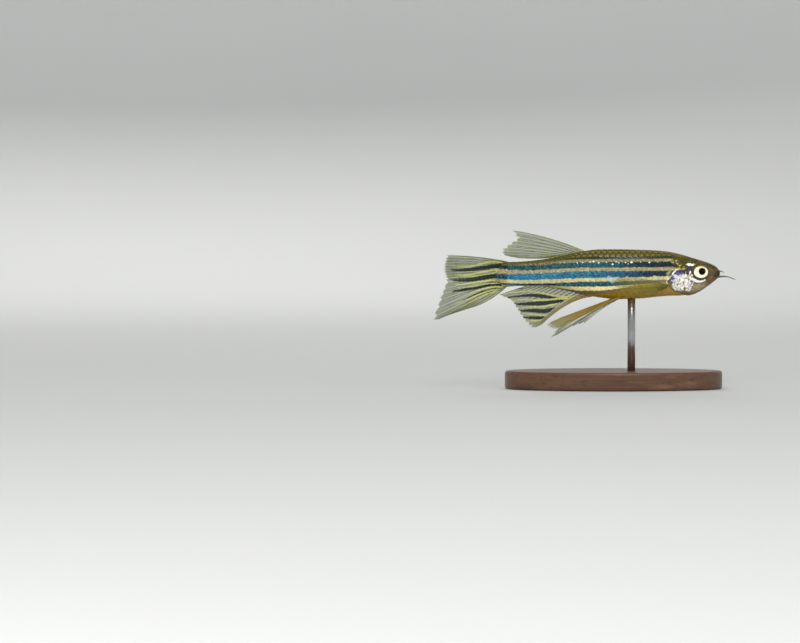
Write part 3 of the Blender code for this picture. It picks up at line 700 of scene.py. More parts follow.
def head_marks(s, h, fold):
    """How much of each marking a point of the head carries."""
    edge = gill_edge(fold)
    deg = np.degrees(fold)
    past = s - edge
    true_s, true_h = s, h
    s, h = wandered(s, h)
    side = smooth(-78, -62, deg) * (1 - smooth(62, 75, deg))
    cover = (1 - smooth(-0.04, 0.0, past)) * smooth(5.25, 5.75, s + 0.12 * h) * side
    most = np.maximum
    calm_s, calm_h = 0.65 * true_s + 0.35 * s, 0.65 * true_h + 0.35 * h
    white = blob(s, h, 5.13, 1.57, 0.62, 0.22, 0.05)
    white = most(white, 0.95 * blob(s, h, 5.02, -0.30, 0.27, 0.82, -0.22, 0.5))
    white = most(white, 0.75 * blob(s, h, 5.95, -0.75, 0.22, 1.15, 0.10, 0.6))
    # bright lower part of the gill cover, in lobes
    for at in ((5.6, -1.80, 0.75, 0.42, -0.35), (6.55, -2.15, 0.45, 0.70, 0.35), (7.35, -2.10, 0.95, 0.20, 0.62),
               (7.45, -2.45, 0.75, 0.16, 0.62), (5.35, -2.55, 0.55, 0.24, -0.1), (6.75, -1.25, 0.85, 0.55, -0.3),
               (4.9, -1.55, 0.32, 0.28, 0.3)):
        white = most(white, blob(s, h, *at))
    streak = line_distance(s, h, smooth_chain([(7.45, 0.66), (8.0, 0.22), (8.5, -0.35), (9.0, -0.86)]))[0]
    white = most(white, 1.0 - smooth(0.07, 0.20, streak))
    white = most(white, blob(s, h, 5.25, -1.95, 0.50, 0.40, -0.2))
    white = most(white, 0.82 * blob(s, h, 5.50, -0.88, 0.34, 0.72, -0.12))
    white = most(white, 0.8 * blob(s, h, 5.45, -2.80, 0.24, 0.10, 0.3))
    white = most(white, 0.95 * bump(past, -0.13, 0.15) * side * (1 - smooth(0.55, 0.85, h)) * smooth(-2.2, -1.2, h))
    # pale crescent under the eye
    a, b = calm_s - EYE_S, calm_h - EYE_H
    r = np.hypot(a, b)
    turn = np.degrees(np.arctan2(b, a))  # 0 is behind the eye, -90 below it
    gap, part = line_distance(calm_s, calm_h, smooth_chain([(4.85, -0.72), (4.25, -1.08), (3.6, -1.20), (3.0, -1.12),
                                                             (2.5, -0.92)]))
    wide = 0.34 - 0.20 * part
    white = most(white, 1.1 * (1 - smooth(0.55, 1.25, gap / wide)) * (1 - smooth(0.93, 1.0, part)))
    violet = 1.0 * blob(s, h, 6.85, 0.30, 1.05, 0.42, -0.20)
    violet = most(violet, 1.0 * blob(s, h, 8.15, -0.45, 0.42, 0.58, -0.75))
    violet = most(violet, 0.85 * blob(s, h, 5.15, 0.86, 0.34, 0.40, 0.0))
    violet = most(violet, 0.7 * blob(s, h, 5.85, 0.62, 0.36, 0.22, 0.2))
    violet = most(violet, 0.35 * blob(s, h, 7.3, -0.45, 1.0, 0.60, -0.2)) * np.where(s > 5.6, cover, 1)
    sheen = blob(s, h, 7.15, -0.55, 1.15, 0.85, -0.3) * cover  # blue-white middle of the cover
    dark = 0.9 * bump(r, 1.30, 0.12) * smooth(-165, -140, turn) * (1 - smooth(-25, -5, turn))
    dark = most(dark, 0.75 * bump(r, 1.36, 0.16) * smooth(35, 55, turn) * (1 - smooth(125, 150, turn)))
    dark = most(dark, 0.8 * blob(s, h, 4.25, -1.50, 0.42, 0.14, 0.25))
    dark = most(dark, 0.6 * blob(s, h, 3.2, -1.62, 0.60, 0.10, -0.15))
    dark = most(dark, 0.55 * (1 - smooth(0.03, 0.15, np.abs(h - 1.22 - 0.03 * (s - 7)))) * smooth(5.4, 5.9, s)
                * (1 - smooth(7.6, 8.0, s)))
    dark = most(dark, 0.8 * blob(s, h, 5.08, 0.02, 0.10, 0.16, 0.0))
    dark = most(dark, 0.55 * blob(s, h, 6.0, 0.62, 0.95, 0.14, -0.1))
    # painted shade: the grooves of the gill cover's bones, the slit under its free edge, the mouth's cut and the
    # nostril pits are darkened as shade falls in them
    dark = most(dark, 0.6 * (1 - smooth(0.0, 0.07, line_distance(true_s, true_h, PREOPERCLE)[0])) * side)
    dark = most(dark, 0.75 * (1 - smooth(0.0, 0.07, line_distance(true_s, true_h, SUBOPERCLE)[0])) * side)
    dark = most(dark, 0.6 * bump(past, 0.10, 0.16) * side * (1 - smooth(0.9, 1.2, h)))
    dark = most(dark, 0.7 * (1 - smooth(0.0, 0.07, line_distance(true_s, true_h, MOUTH)[0])))
    for place_s, place_h in ((1.42, 1.10), (1.76, 1.20)):
        dark = most(dark, 1.0 * (1 - smooth(0.05, 0.14, np.hypot(true_s - place_s, true_h - place_h))))
    for at in ((5.75, 0.95, 0.28, 0.13, 0.3), (6.6, 1.02, 0.35, 0.12, -0.1), (6.05, 0.10, 0.16, 0.30, 0.2),
               (6.15, -1.35, 0.10, 0.32, 0.5), (7.05, -1.75, 0.30, 0.08, 0.5), (5.95, -2.35, 0.10, 0.26, -0.4),
               (4.95, -1.05, 0.16, 0.12, 0.0), (7.75, -1.35, 0.34, 0.09, -0.4), (4.85, 0.62, 0.12, 0.30, 0.1),
               (4.95, -0.55, 0.09, 0.20, 0.4), (6.9, -2.75, 0.5, 0.10, 0.1), (5.62, -0.62, 0.07, 0.22, 0.3),
               (5.40, -1.45, 0.16, 0.07, 0.5)):
        dark = most(dark, 0.85 * blob(s, h, *at))
    rose = 0.9 * blob(s, h, 1.45, -0.80, 0.80, 0.36, 0.50)
    rose = most(rose, 0.65 * blob(s, h, 9.15, -2.05, 0.95, 0.60, 0.15))
    rose = most(rose, 0.5 * blob(s, h, 9.0, -3.2, 1.6, 0.45, 0.0))
    rose = most(rose, 0.45 * blob(s, h, 3.6, 1.75, 0.8, 0.18, 0.0))
    cheek = blob(s, h, 4.0, -2.15, 1.6, 0.62, -0.28)
    gold = 0.85 * blob(s, h, 6.9, 0.82, 1.15, 0.26, -0.05)
    gold = most(gold, 0.8 * blob(s, h, 8.7, 0.15, 0.55, 0.30, -0.7))
    for at in ((8.05, 1.95, 0.22, 0.15, 0.4), (7.45, 2.25, 0.26, 0.12, -0.3), (7.25, 1.75, 0.18, 0.13, 0.2),
               (6.75, 1.45, 0.30, 0.12, -0.2), (6.1, 1.25, 0.20, 0.11, 0.0), (8.6, 2.35, 0.30, 0.10, 0.1),
               (4.35, 1.62, 0.25, 0.09, 0.2)):
        gold = most(gold, 0.9 * blob(s, h, *at))
    bright = most(0.85 * blob(s, h, 5.10, 1.57, 0.60, 0.21, 0.05), 0.75 * (1 - smooth(0.35, 0.8, gap / wide)))
    bright = most(bright, 0.6 * (1 - smooth(0.03, 0.12, streak)))
    for at in ((6.9, -2.0, 0.35, 0.22, 0.5), (5.7, -1.85, 0.30, 0.26, 0.0), (6.35, -0.95, 0.26, 0.22, 0.0)):
        bright = most(bright, 0.6 * blob(s, h, *at))
    return {"white": white, "violet": violet, "sheen": sheen, "dark": dark, "rose": rose, "bright": bright,
            "cheek": cheek, "gold": gold}


def make_skin(paints):
    columns = 184
    a = np.linspace(-math.pi / 2, 3 * math.pi / 2, 20001)
    y, h = section(4.0, a)
    length = np.concatenate([[0], np.cumsum(np.hypot(np.diff(y), np.diff(h)))])
    angles = np.interp(np.arange(columns) / columns * length[-1], length, a)
    mid = 8.0
    rings = np.concatenate([
        2.2 * np.linspace(0.02, 1, 64) ** 1.5, np.arange(2.25, 7.7, 0.05), np.arange(7.7, 7.99, 0.03),
        [mid, 8.012, 8.03, 8.06, 8.10, 8.15, 8.22], np.arange(8.3, 9.5, 0.07),
        np.linspace(9.5, TAIL_END - 1.0, 130), TAIL_END - 1.0 + 1.0 * np.sin(np.linspace(0.08, 1, 16) * math.pi / 2)])
    fold = folded(angles)
    edge = gill_edge(fold)
    t, angle = np.meshgrid(rings, angles, indexing="ij")
    edge2 = np.broadcast_to(edge, t.shape)
    fold2 = np.broadcast_to(fold, t.shape)
    s = np.where(t <= 2.2, t, np.where(t <= mid, 2.2 + (t - 2.2) * (edge2 - 2.2) / (mid - 2.2),
                 np.where(t <= 12, edge2 + (t - mid) * (12 - edge2) / (12 - mid), t)))
    y, h = section(s, angle)
    deg = np.degrees(fold2)
    over = smooth(16, 30, deg)  # above the gill slit the scales rise slowly out of the nape's skin
    bare = (1 - smooth(-0.05, 0.25, s - edge2)) * (1 - over) + over * (1 - smooth(6.9, 8.9, s))
    inset = 0.015 * bare + SCALE_DEPTH * (1 - bare)
    relief = skin_relief(s, h, fold2)
    points, normal = surface(s, angle, inset - relief)
    # the sockets: inside each eye's rim the skin drops behind the eyeball
    for side in (-1, 1):
        axes, centre = eye_axes(side), eye_centre(side)
        local = (points - centre) @ axes.T
        r = np.hypot(local[..., 0], local[..., 1])
        near = (local[..., 2] > -0.2) & (points[..., 1] * side > 0.3) & (r < 1.33)
        outer = near & (r >= 1.215)
        inner = near & (r < 1.215)
        grow = np.where(outer, SOCKET / np.maximum(r, 1e-6), 1.0) * np.where(outer & (r > 1.315), r / SOCKET, 1.0)
        local[..., 0] *= grow
        local[..., 1] *= grow
        local[..., 2] = np.where(inner, -0.30, local[..., 2])
        points = np.where((near)[..., None], local @ axes + centre, points)
    build = Build()
    rows = len(rings)
    marks = head_marks(s, h, fold2)
    tall = (h - along(s, UNDER)) / np.maximum(along(s, TOP) - along(s, UNDER), 0.05)
    uv = np.stack(np.broadcast_arrays((np.arange(rows) / (rows - 1) * 0.98 + 0.01)[:, None],
                                      (np.arange(columns) / columns)[None, :]), -1)
    values = {k: v.ravel() for k, v in marks.items()}
    faces = [f[::-1] for f in grid_faces(rows, columns, closed=True).tolist()]
    faces.append(list(range(columns)))
    faces.append([(rows - 1) * columns + k for k in range(columns)][::-1])
    build.add(points, faces, uv=uv, band=band_of(s, h).ravel(), back=s.ravel(), bare=bare.ravel(),
              tall=tall.ravel(), rim=np.zeros(s.size), nape=nape_of(s, h).ravel(), **values)
    # a soft lid round each eye
    for side in (-1, 1):
        axes, centre = eye_axes(side), eye_centre(side)
        turn = np.arange(120) / 120 * 2 * math.pi
        place_ = np.stack([SOCKET * np.cos(turn), SOCKET * np.sin(turn), np.full(120, 0.4)], -1)
        for _ in range(8):
            p = place_ @ axes + centre
            place_[:, 2] += (flank(-p[:, 0], p[:, 2]) - 0.03 - side * p[:, 1]) / (side * axes[2, 1])
        p = place_ @ axes + centre
        out = axes[2]
        tangent = unit(np.roll(p, -1, 0) - np.roll(p, 1, 0))
        across = unit(np.cross(tangent, out))
        up = np.cross(across, tangent)
        ring = np.arange(10) / 10 * 2 * math.pi
        tube = p[:, None] + 0.062 * (np.cos(ring)[None, :, None] * across[:, None]
                                     + 1.15 * np.sin(ring)[None, :, None] * up[:, None])
        i, j = np.meshgrid(np.arange(120), np.arange(10), indexing="ij")
        faces = np.stack([i * 10 + j, i * 10 + (j + 1) % 10, (i + 1) % 120 * 10 + (j + 1) % 10,
                          (i + 1) % 120 * 10 + j], -1).reshape(-1, 4).tolist()
        s_, h_ = -tube[..., 0], tube[..., 2]
        fold_ = angle_of(s_, h_)
        marks = {k: v.ravel() for k, v in head_marks(s_, h_, fold_).items()}
        tall_ = (h_ - along(s_, UNDER)) / (along(s_, TOP) - along(s_, UNDER))
        build.add(tube, faces, uv=np.stack([np.full(tube.shape[:2], 0.003),
                  np.broadcast_to((0.1 + 0.8 * np.arange(120) / 120)[:, None], tube.shape[:2])], -1),
                  band=band_of(s_, h_).ravel(), back=s_.ravel(), bare=1.0, tall=tall_.ravel(), rim=1.0, nape=0.0, **marks)
        # inside the lid the skin slopes down to the iris
        inner = []
        for radius, part in ((SOCKET, 0.0), (1.235, 0.22), (1.205, 0.50), (1.175, 0.78), (1.14, 1.0)):
            low = float(np.interp((radius - 0.57) / 0.692, IRIS_WHERE, IRIS_HEIGHT)) - 0.035
            inner.append(np.stack([radius * np.cos(turn), radius * np.sin(turn),
                                   (place_[:, 2] - 0.02) * (1 - part) + low * part], -1) @ axes + centre)
        inner = np.stack(inner)
        s_, h_ = -inner[..., 0], inner[..., 2]
        tall_ = (h_ - along(s_, UNDER)) / (along(s_, TOP) - along(s_, UNDER))
        faces = grid_faces(5, 120, closed=True).tolist()
        build.add(inner, faces if side < 0 else [f[::-1] for f in faces],
                  uv=np.stack([np.full(inner.shape[:2], 0.006), np.broadcast_to(
                      (0.1 + 0.8 * np.arange(120) / 120)[None, :], inner.shape[:2])], -1),
                  band=band_of(s_, h_).ravel(), back=s_.ravel(), bare=1.0, tall=tall_.ravel(), rim=2.0, nape=0.0)
    made = build.object("skin", paints, wrap=True)
    fix_normals(made)
    return made


def fix_normals(obj):
    mesh = bmesh.new()
    mesh.from_mesh(obj.data)
    bmesh.ops.recalc_face_normals(mesh, faces=mesh.faces)
    mesh.to_mesh(obj.data)
    mesh.free()


def skin_paint():
    paint = Paint("wet_skin", Roughness=0.38, Coat_Weight=0.11, Coat_Roughness=0.12, Specular_IOR_Level=0.15)
    coat, ragged = coat_colour(paint)
    tall = paint.attribute("tall")
    fine = paint.noise(5200, 3.0)
    broad = paint.noise(900, 2.0)
    shade = paint.math("MULTIPLY_ADD", paint.math("SUBTRACT", broad, 0.5), 0.22, tall)
    head = paint.ramp(shade, (
        (0.00, srgb(114, 96, 62)), (0.16, srgb(116, 102, 68)), (0.33, srgb(94, 85, 50)),
        (0.48, srgb(77, 69, 29)), (0.64, srgb(66, 61, 19)), (0.82, srgb(61, 58, 15)),
        (1.00, srgb(50, 47, 14))))
    back = paint.attribute("back")
    snout = paint.step(back, 0.5, 3.0, 1.0, 0.0)
    head = paint.mix(paint.math("MULTIPLY", snout, 0.80), head, srgb(40, 33, 14))
    head = paint.mix(paint.step(back, 1.3, 0.1, 0.0, 0.8), head, srgb(24, 22, 9))
    # broad blotches: golden olive behind and on top, purplish brown before the eye
    golden = paint.math("MULTIPLY", paint.step(paint.noise(800, 2.0), 0.46, 0.60), paint.step(tall, 0.45, 0.80))
    head = paint.mix(paint.math("MULTIPLY", golden, 0.55), head, srgb(106, 98, 28))
    plum = paint.math("MULTIPLY", paint.step(paint.noise(1300, 3.0), 0.47, 0.60), paint.step(back, 3.6, 1.0))
    head = paint.mix(paint.math("MULTIPLY", plum, 0.60), head, srgb(98, 78, 72))
    mottle = paint.step(paint.noise(1900, 3.0), 0.44, 0.62)
    head = paint.mix(paint.math("MULTIPLY", mottle, 0.46), head, srgb(38, 35, 15))
    grain = paint.math("MULTIPLY", paint.step(paint.noise(2900, 2.0), 0.49, 0.60), paint.step(back, 5.0, 2.4))
    head = paint.mix(paint.math("MULTIPLY", grain, 0.34), head, srgb(108, 90, 68))
    # pigment cells, densest on the crown and snout
    dots = paint.step(paint.cells(7800), 0.16, 0.34, 1.0, 0.0)
    crown = paint.step(tall, 0.40, 0.95)
    head = paint.mix(paint.math("MULTIPLY", dots, paint.math("MULTIPLY_ADD", crown, 0.50, 0.20)), head,
                     srgb(38, 35, 19))
    fleck = paint.step(paint.noise(4300, 2.0), 0.62, 0.70)
    head = paint.mix(paint.math("MULTIPLY", fleck, 0.34), head, srgb(150, 136, 72))
    head = paint.mix(paint.math("MULTIPLY", paint.attribute("cheek"), 0.46), head, srgb(176, 168, 138))
    rough_edge = paint.math("SUBTRACT", paint.noise(3600, 3.0), 0.5)

    def mark(name, under, colour, amount=1.0, ragged_by=1.1):
        strength = paint.math("MULTIPLY_ADD", rough_edge, ragged_by, paint.attribute(name))
        strength = paint.math("MULTIPLY", paint.step(strength, 0.20, 0.80), amount)
        keep = paint.step(paint.attribute(name), 0.02, 0.12)
        return paint.mix(paint.math("MULTIPLY", strength, keep), under, colour)

    # the plates glitter like crumpled foil, painted as facets of several tints, with painted shade darkening the
    # creases between
    border, which = paint.facets(1500, 0.0010)
    crease_shade = paint.step(border, 0.01, 0.11, 1.0, 0.0)
    foil = paint.ramp(which, ((0.0, srgb(254, 253, 250)), (0.40, srgb(252, 248, 226)), (0.50, srgb(226, 224, 242)),
                              (0.62, srgb(255, 253, 252)), (0.73, srgb(252, 244, 240)), (0.79, srgb(142, 130, 134)),
                              (0.86, srgb(240, 234, 216)), (1.0, srgb(250, 246, 212))))
    foil = paint.mix(paint.math("MULTIPLY", crease_shade, 0.68), foil, srgb(74, 64, 66))
    foil = paint.mix(paint.attribute("bright"), foil, srgb(255, 251, 248))
    # the lilac, glow and gold tints take the same painted shade in the creases
    lilac = paint.ramp(which, ((0.0, srgb(68, 58, 106)), (0.4, srgb(38, 30, 54)), (0.7, srgb(112, 104, 156)),
                               (1.0, srgb(50, 42, 84))))
    lilac = paint.mix(paint.math("MULTIPLY", crease_shade, 0.60), lilac, srgb(32, 26, 42))
    glow = paint.ramp(which, ((0.0, srgb(236, 236, 252)), (0.5, srgb(253, 253, 255)), (1.0, srgb(202, 200, 230))))
    glow = paint.mix(paint.math("MULTIPLY", crease_shade, 0.40), glow, srgb(96, 90, 124))
    head = mark("gold", head, paint.mix(paint.math("MULTIPLY", crease_shade, 0.6), srgb(190, 176, 108), srgb(90, 80, 44)), 0.85)
    head = mark("sheen", head, glow, 0.95)
    head = mark("violet", head, lilac, 0.92)
    head = mark("white", head, foil, 0.97)
    head = mark("rose", head, srgb(140, 88, 66), 0.45)
    # the dark marks are pigment, together with painted shade in the grooves, under the gill cover's edge, in the mouth
    # and in the nostrils; the body's dark marks below carry it too
    head = mark("dark", head, srgb(46, 38, 38), 0.80, 0.7)
    body = mark("rose", coat, srgb(150, 104, 78), 0.45)
    body = mark("gold", body, srgb(196, 182, 120), 0.7)
    body = mark("dark", body, srgb(70, 58, 52), 0.5)
    colour = paint.mix(paint.attribute("bare"), body, head)
    rim = paint.attribute("rim")
    colour = paint.mix(paint.math("MULTIPLY", rim, 0.60, clamp=True), colour, srgb(42, 34, 17))
    colour = paint.mix(paint.step(fine, 0.35, 0.7, 0.0, 0.14), colour, srgb(70, 62, 36))
    paint.set(Base_Color=colour)
    shine = paint.math("MAXIMUM", paint.attribute("white"), paint.attribute("violet"))
    shine = paint.math("MAXIMUM", shine, paint.attribute("sheen"))
    paint.set(Metallic=paint.math("MULTIPLY", paint.step(shine, 0.2, 0.8), 0.30))
    height = paint.math("MULTIPLY_ADD", paint.noise(9000, 2.0), 0.6, paint.noise(2400, 2.0))
    dent = paint.math("MULTIPLY", paint.step(border, 0.0, 0.30), paint.step(shine, 0.2, 0.8))
    height = paint.math("MULTIPLY_ADD", dent, 0.9, height)
    paint.bump(height, 0.000026, 0.6)
    return paint.material


# ---- the scales -------------------------------------------------------------
SCALE_FROM, SCALE_TO = 5.5, 37.0
TABLE_S = np.arange(SCALE_FROM, SCALE_TO + 0.001, 0.05)
TABLE_A = np.radians(np.linspace(-150, 150, 1201))
LATERAL_S = [8.3, 13.3, 19.9, 26.5, 33.1, 36.6]
LATERAL_H = [-0.57, -0.69, -0.85, -0.97, -1.22, -1.17]


def arc_table():
    """Length round the section from the row along the middle of the side, for each s and angle."""
    s, a = np.meshgrid(TABLE_S, TABLE_A, indexing="ij")
    y, h = section(s, a)
    step_ = np.hypot(np.diff(y, axis=1), np.diff(h, axis=1))
    arc = np.concatenate([np.zeros((len(TABLE_S), 1)), np.cumsum(step_, axis=1)], axis=1)
    start = angle_of(TABLE_S, np.interp(TABLE_S, LATERAL_S, LATERAL_H))
    zero = np.array([np.interp(start[i], TABLE_A, arc[i]) for i in range(len(TABLE_S))])
    return arc - zero[:, None]


ARC = arc_table()


def angle_at(s, arc):
    """The section angle at a length round the body from its middle row."""
    shape = np.shape(s)
    s = np.clip(np.ravel(s), SCALE_FROM, SCALE_TO - 0.01)
    arc = np.ravel(arc)
    x = (s - SCALE_FROM) / 0.05
    low = np.floor(x).astype(int)
    part = x - low
    out = np.zeros(len(s))
    for i in np.unique(low):
        pick = low == i
        a = np.interp(arc[pick], ARC[i], TABLE_A)
        b = np.interp(arc[pick], ARC[min(i + 1, len(TABLE_S) - 1)], TABLE_A)
        out[pick] = a * (1 - part[pick]) + b * part[pick]
    return out.reshape(shape)


def arc_to(s, degrees):
    """Length round the body from its middle row to an angle."""
    i = np.clip(np.round((np.asarray(s) - SCALE_FROM) / 0.05).astype(int), 0, len(TABLE_S) - 1)
    return np.array([np.interp(math.radians(degrees), TABLE_A, ARC[k]) for k in np.atleast_1d(i)])


def scale_places(chance):
    """Middle, size and row of every scale of the left side, and those along the midlines."""
    found = []
    half_steps = [6.0]
    while half_steps[-1] < 36.45:
        s = half_steps[-1]
        half_steps.append(s + 0.5 * np.interp(s, [6, 20, 30, 36.5], [0.92, 0.95, 0.90, 0.78]))
    for row in range(-9, 12):
        for m, s in enumerate(half_steps):
            if (m + row) % 2:
                continue
            pitch = float(np.interp(s, [6, 12, 22, 30, 36.5], [0.74, 0.80, 0.80, 0.70, 0.56]))
            top, bottom = float(arc_to(s, 90)[0]), float(arc_to(s, -90)[0])
            arc = row * pitch
            middle = False
            for limit, sign in ((top, 1), (bottom, -1)):
                spare = (limit - arc) * sign
                if spare < -0.30 * pitch:
                    break
                if spare < 0.34 * pitch:
                    arc, middle = limit, True
                elif spare < 0.55 * pitch:
                    arc = limit - sign * 0.55 * pitch
            else:
                angle = float(angle_at(np.array([s]), np.array([arc]))[0])
                start = max(float(gill_edge(np.array([np.clip(angle, -1.57, 1.57)]))[0]) - 0.30, 6.0)
                start = max(start, 6.9) if math.degrees(angle) > 20 else start
                if s < start:
                    continue
                found.append((s, arc, pitch, row, middle))
    return found


def make_scales(paint):
    """Overlapping closed shells, each a thin curved oval with its rear edge lifted off the next."""
    chance = np.random.default_rng(7)
    places = scale_places(chance)
    n = 8
    p, q = np.meshgrid(np.linspace(-1, 1, n), np.linspace(-1, 1, n), indexing="ij")
    x = p * np.sqrt(1 - q * q / 2)  # along, rearwards
    w = q * np.sqrt(1 - p * p / 2)  # across
    rim = ([j for j in range(n)] + [i * n + n - 1 for i in range(1, n)]
           + [(n - 1) * n + j for j in range(n - 2, -1, -1)] + [i * n for i in range(n - 2, 0, -1)])
    top_faces = grid_faces(n, n).tolist()
    faces = [f[::-1] for f in top_faces] + [[k + n * n for k in f] for f in top_faces]
    faces += [[a, b, b + n * n, a + n * n] for a, b in zip(rim, rim[1:] + rim[:1])]
    out = []
    for side, word in ((-1, "right"), (1, "left")):
        build = Build()
        for s, arc, pitch, row, middle in places:
            tone, glint, size, lean, lift = chance.random(), chance.random(), *chance.normal(0, 1, 3)
            if middle and side < 0:
                continue
            period = float(np.interp(s, [6, 20, 30, 36.5], [0.92, 0.95, 0.90, 0.78]))
            half_long = 0.90 * period * (1 + 0.02 * size)
            half_wide = 0.66 * pitch * (1 + 0.02 * size)
            turn = 0.035 * lean
            ds = half_long * (x * math.cos(turn) - w * 0.6 * math.sin(turn))
            da = half_wide * w + half_long * x * math.sin(turn)
            ss = s + ds
            angle = angle_at(ss, arc + da)
            depth = 0.050 - 0.034 * x + 0.012 * w ** 2 - 0.003 * lift * np.clip(x, 0, 1)
            depth = depth - 0.006 * (1 - w ** 2) * (1 - np.clip(x, -1, 1) ** 2)
            depth = np.clip(depth, 0.010, 0.10)
            upper, normal = surface(ss, angle, depth)
            lower, _ = surface(ss, angle, np.minimum(depth + 0.018, 0.120))
            points = np.concatenate([upper.reshape(-1, 3), lower.reshape(-1, 3)])
            yy, hh = section(ss, angle)
            if side < 0:
                points = points * np.array([1, -1, 1])
            two = lambda v: np.concatenate([v.ravel(), v.ravel()])
            edge = np.clip(np.hypot(x, w), 0, 1)
            fold = folded(angle)
            marks = head_marks(ss, hh, fold)
            u0 = (s - SCALE_FROM) / (37.4 - SCALE_FROM)
            low, high = float(arc_to(s, -90)[0]), float(arc_to(s, 90)[0])
            v0 = 0.03 + 0.94 * (arc - low) / (high - low)
            du = 0.46 * period / (37.4 - SCALE_FROM)
            dv = 0.44 * 0.94 * pitch / (high - low)
            uv = np.stack([u0 + du * x, np.clip(v0 + dv * w, 0.001, 0.999)], -1).reshape(-1, 2)
            build.add(points, faces if side > 0 else [f[::-1] for f in faces], uv=np.concatenate([uv, uv]),
                      band=two(band_of(ss, hh)), back=two(ss), nape=two(nape_of(ss, hh)), tone=tone, edge=two(edge), run=two(x),
                      across=two(w), rose=two(marks["rose"]), gold=two(marks["gold"]),
                      dark=two(marks["dark"]))
        out.append(build.object("scales_" + word, [paint]))
        print("scales", word, len(build.faces))
    return out


GLINTS = [(21.60, 1.98, 0.10), (21.05, 2.06, 0.14), (20.20, 1.86, 0.12), (17.90, 1.64, 0.13), (17.35, 2.02, 0.08),
          (16.90, 1.88, 0.08), (15.80, 1.92, 0.10), (14.80, 1.94, 0.15), (13.30, 1.98, 0.08), (11.85, 1.94, 0.13),
          (23.70, 1.84, 0.08), (22.80, 1.92, 0.08), (18.90, 1.96, 0.07), (15.35, 1.70, 0.07), (10.50, 1.98, 0.07)]
SHEEN_AT = [(18.40, -0.72, 0.50), (17.85, -1.15, 0.40), (17.10, -0.62, 0.28)]


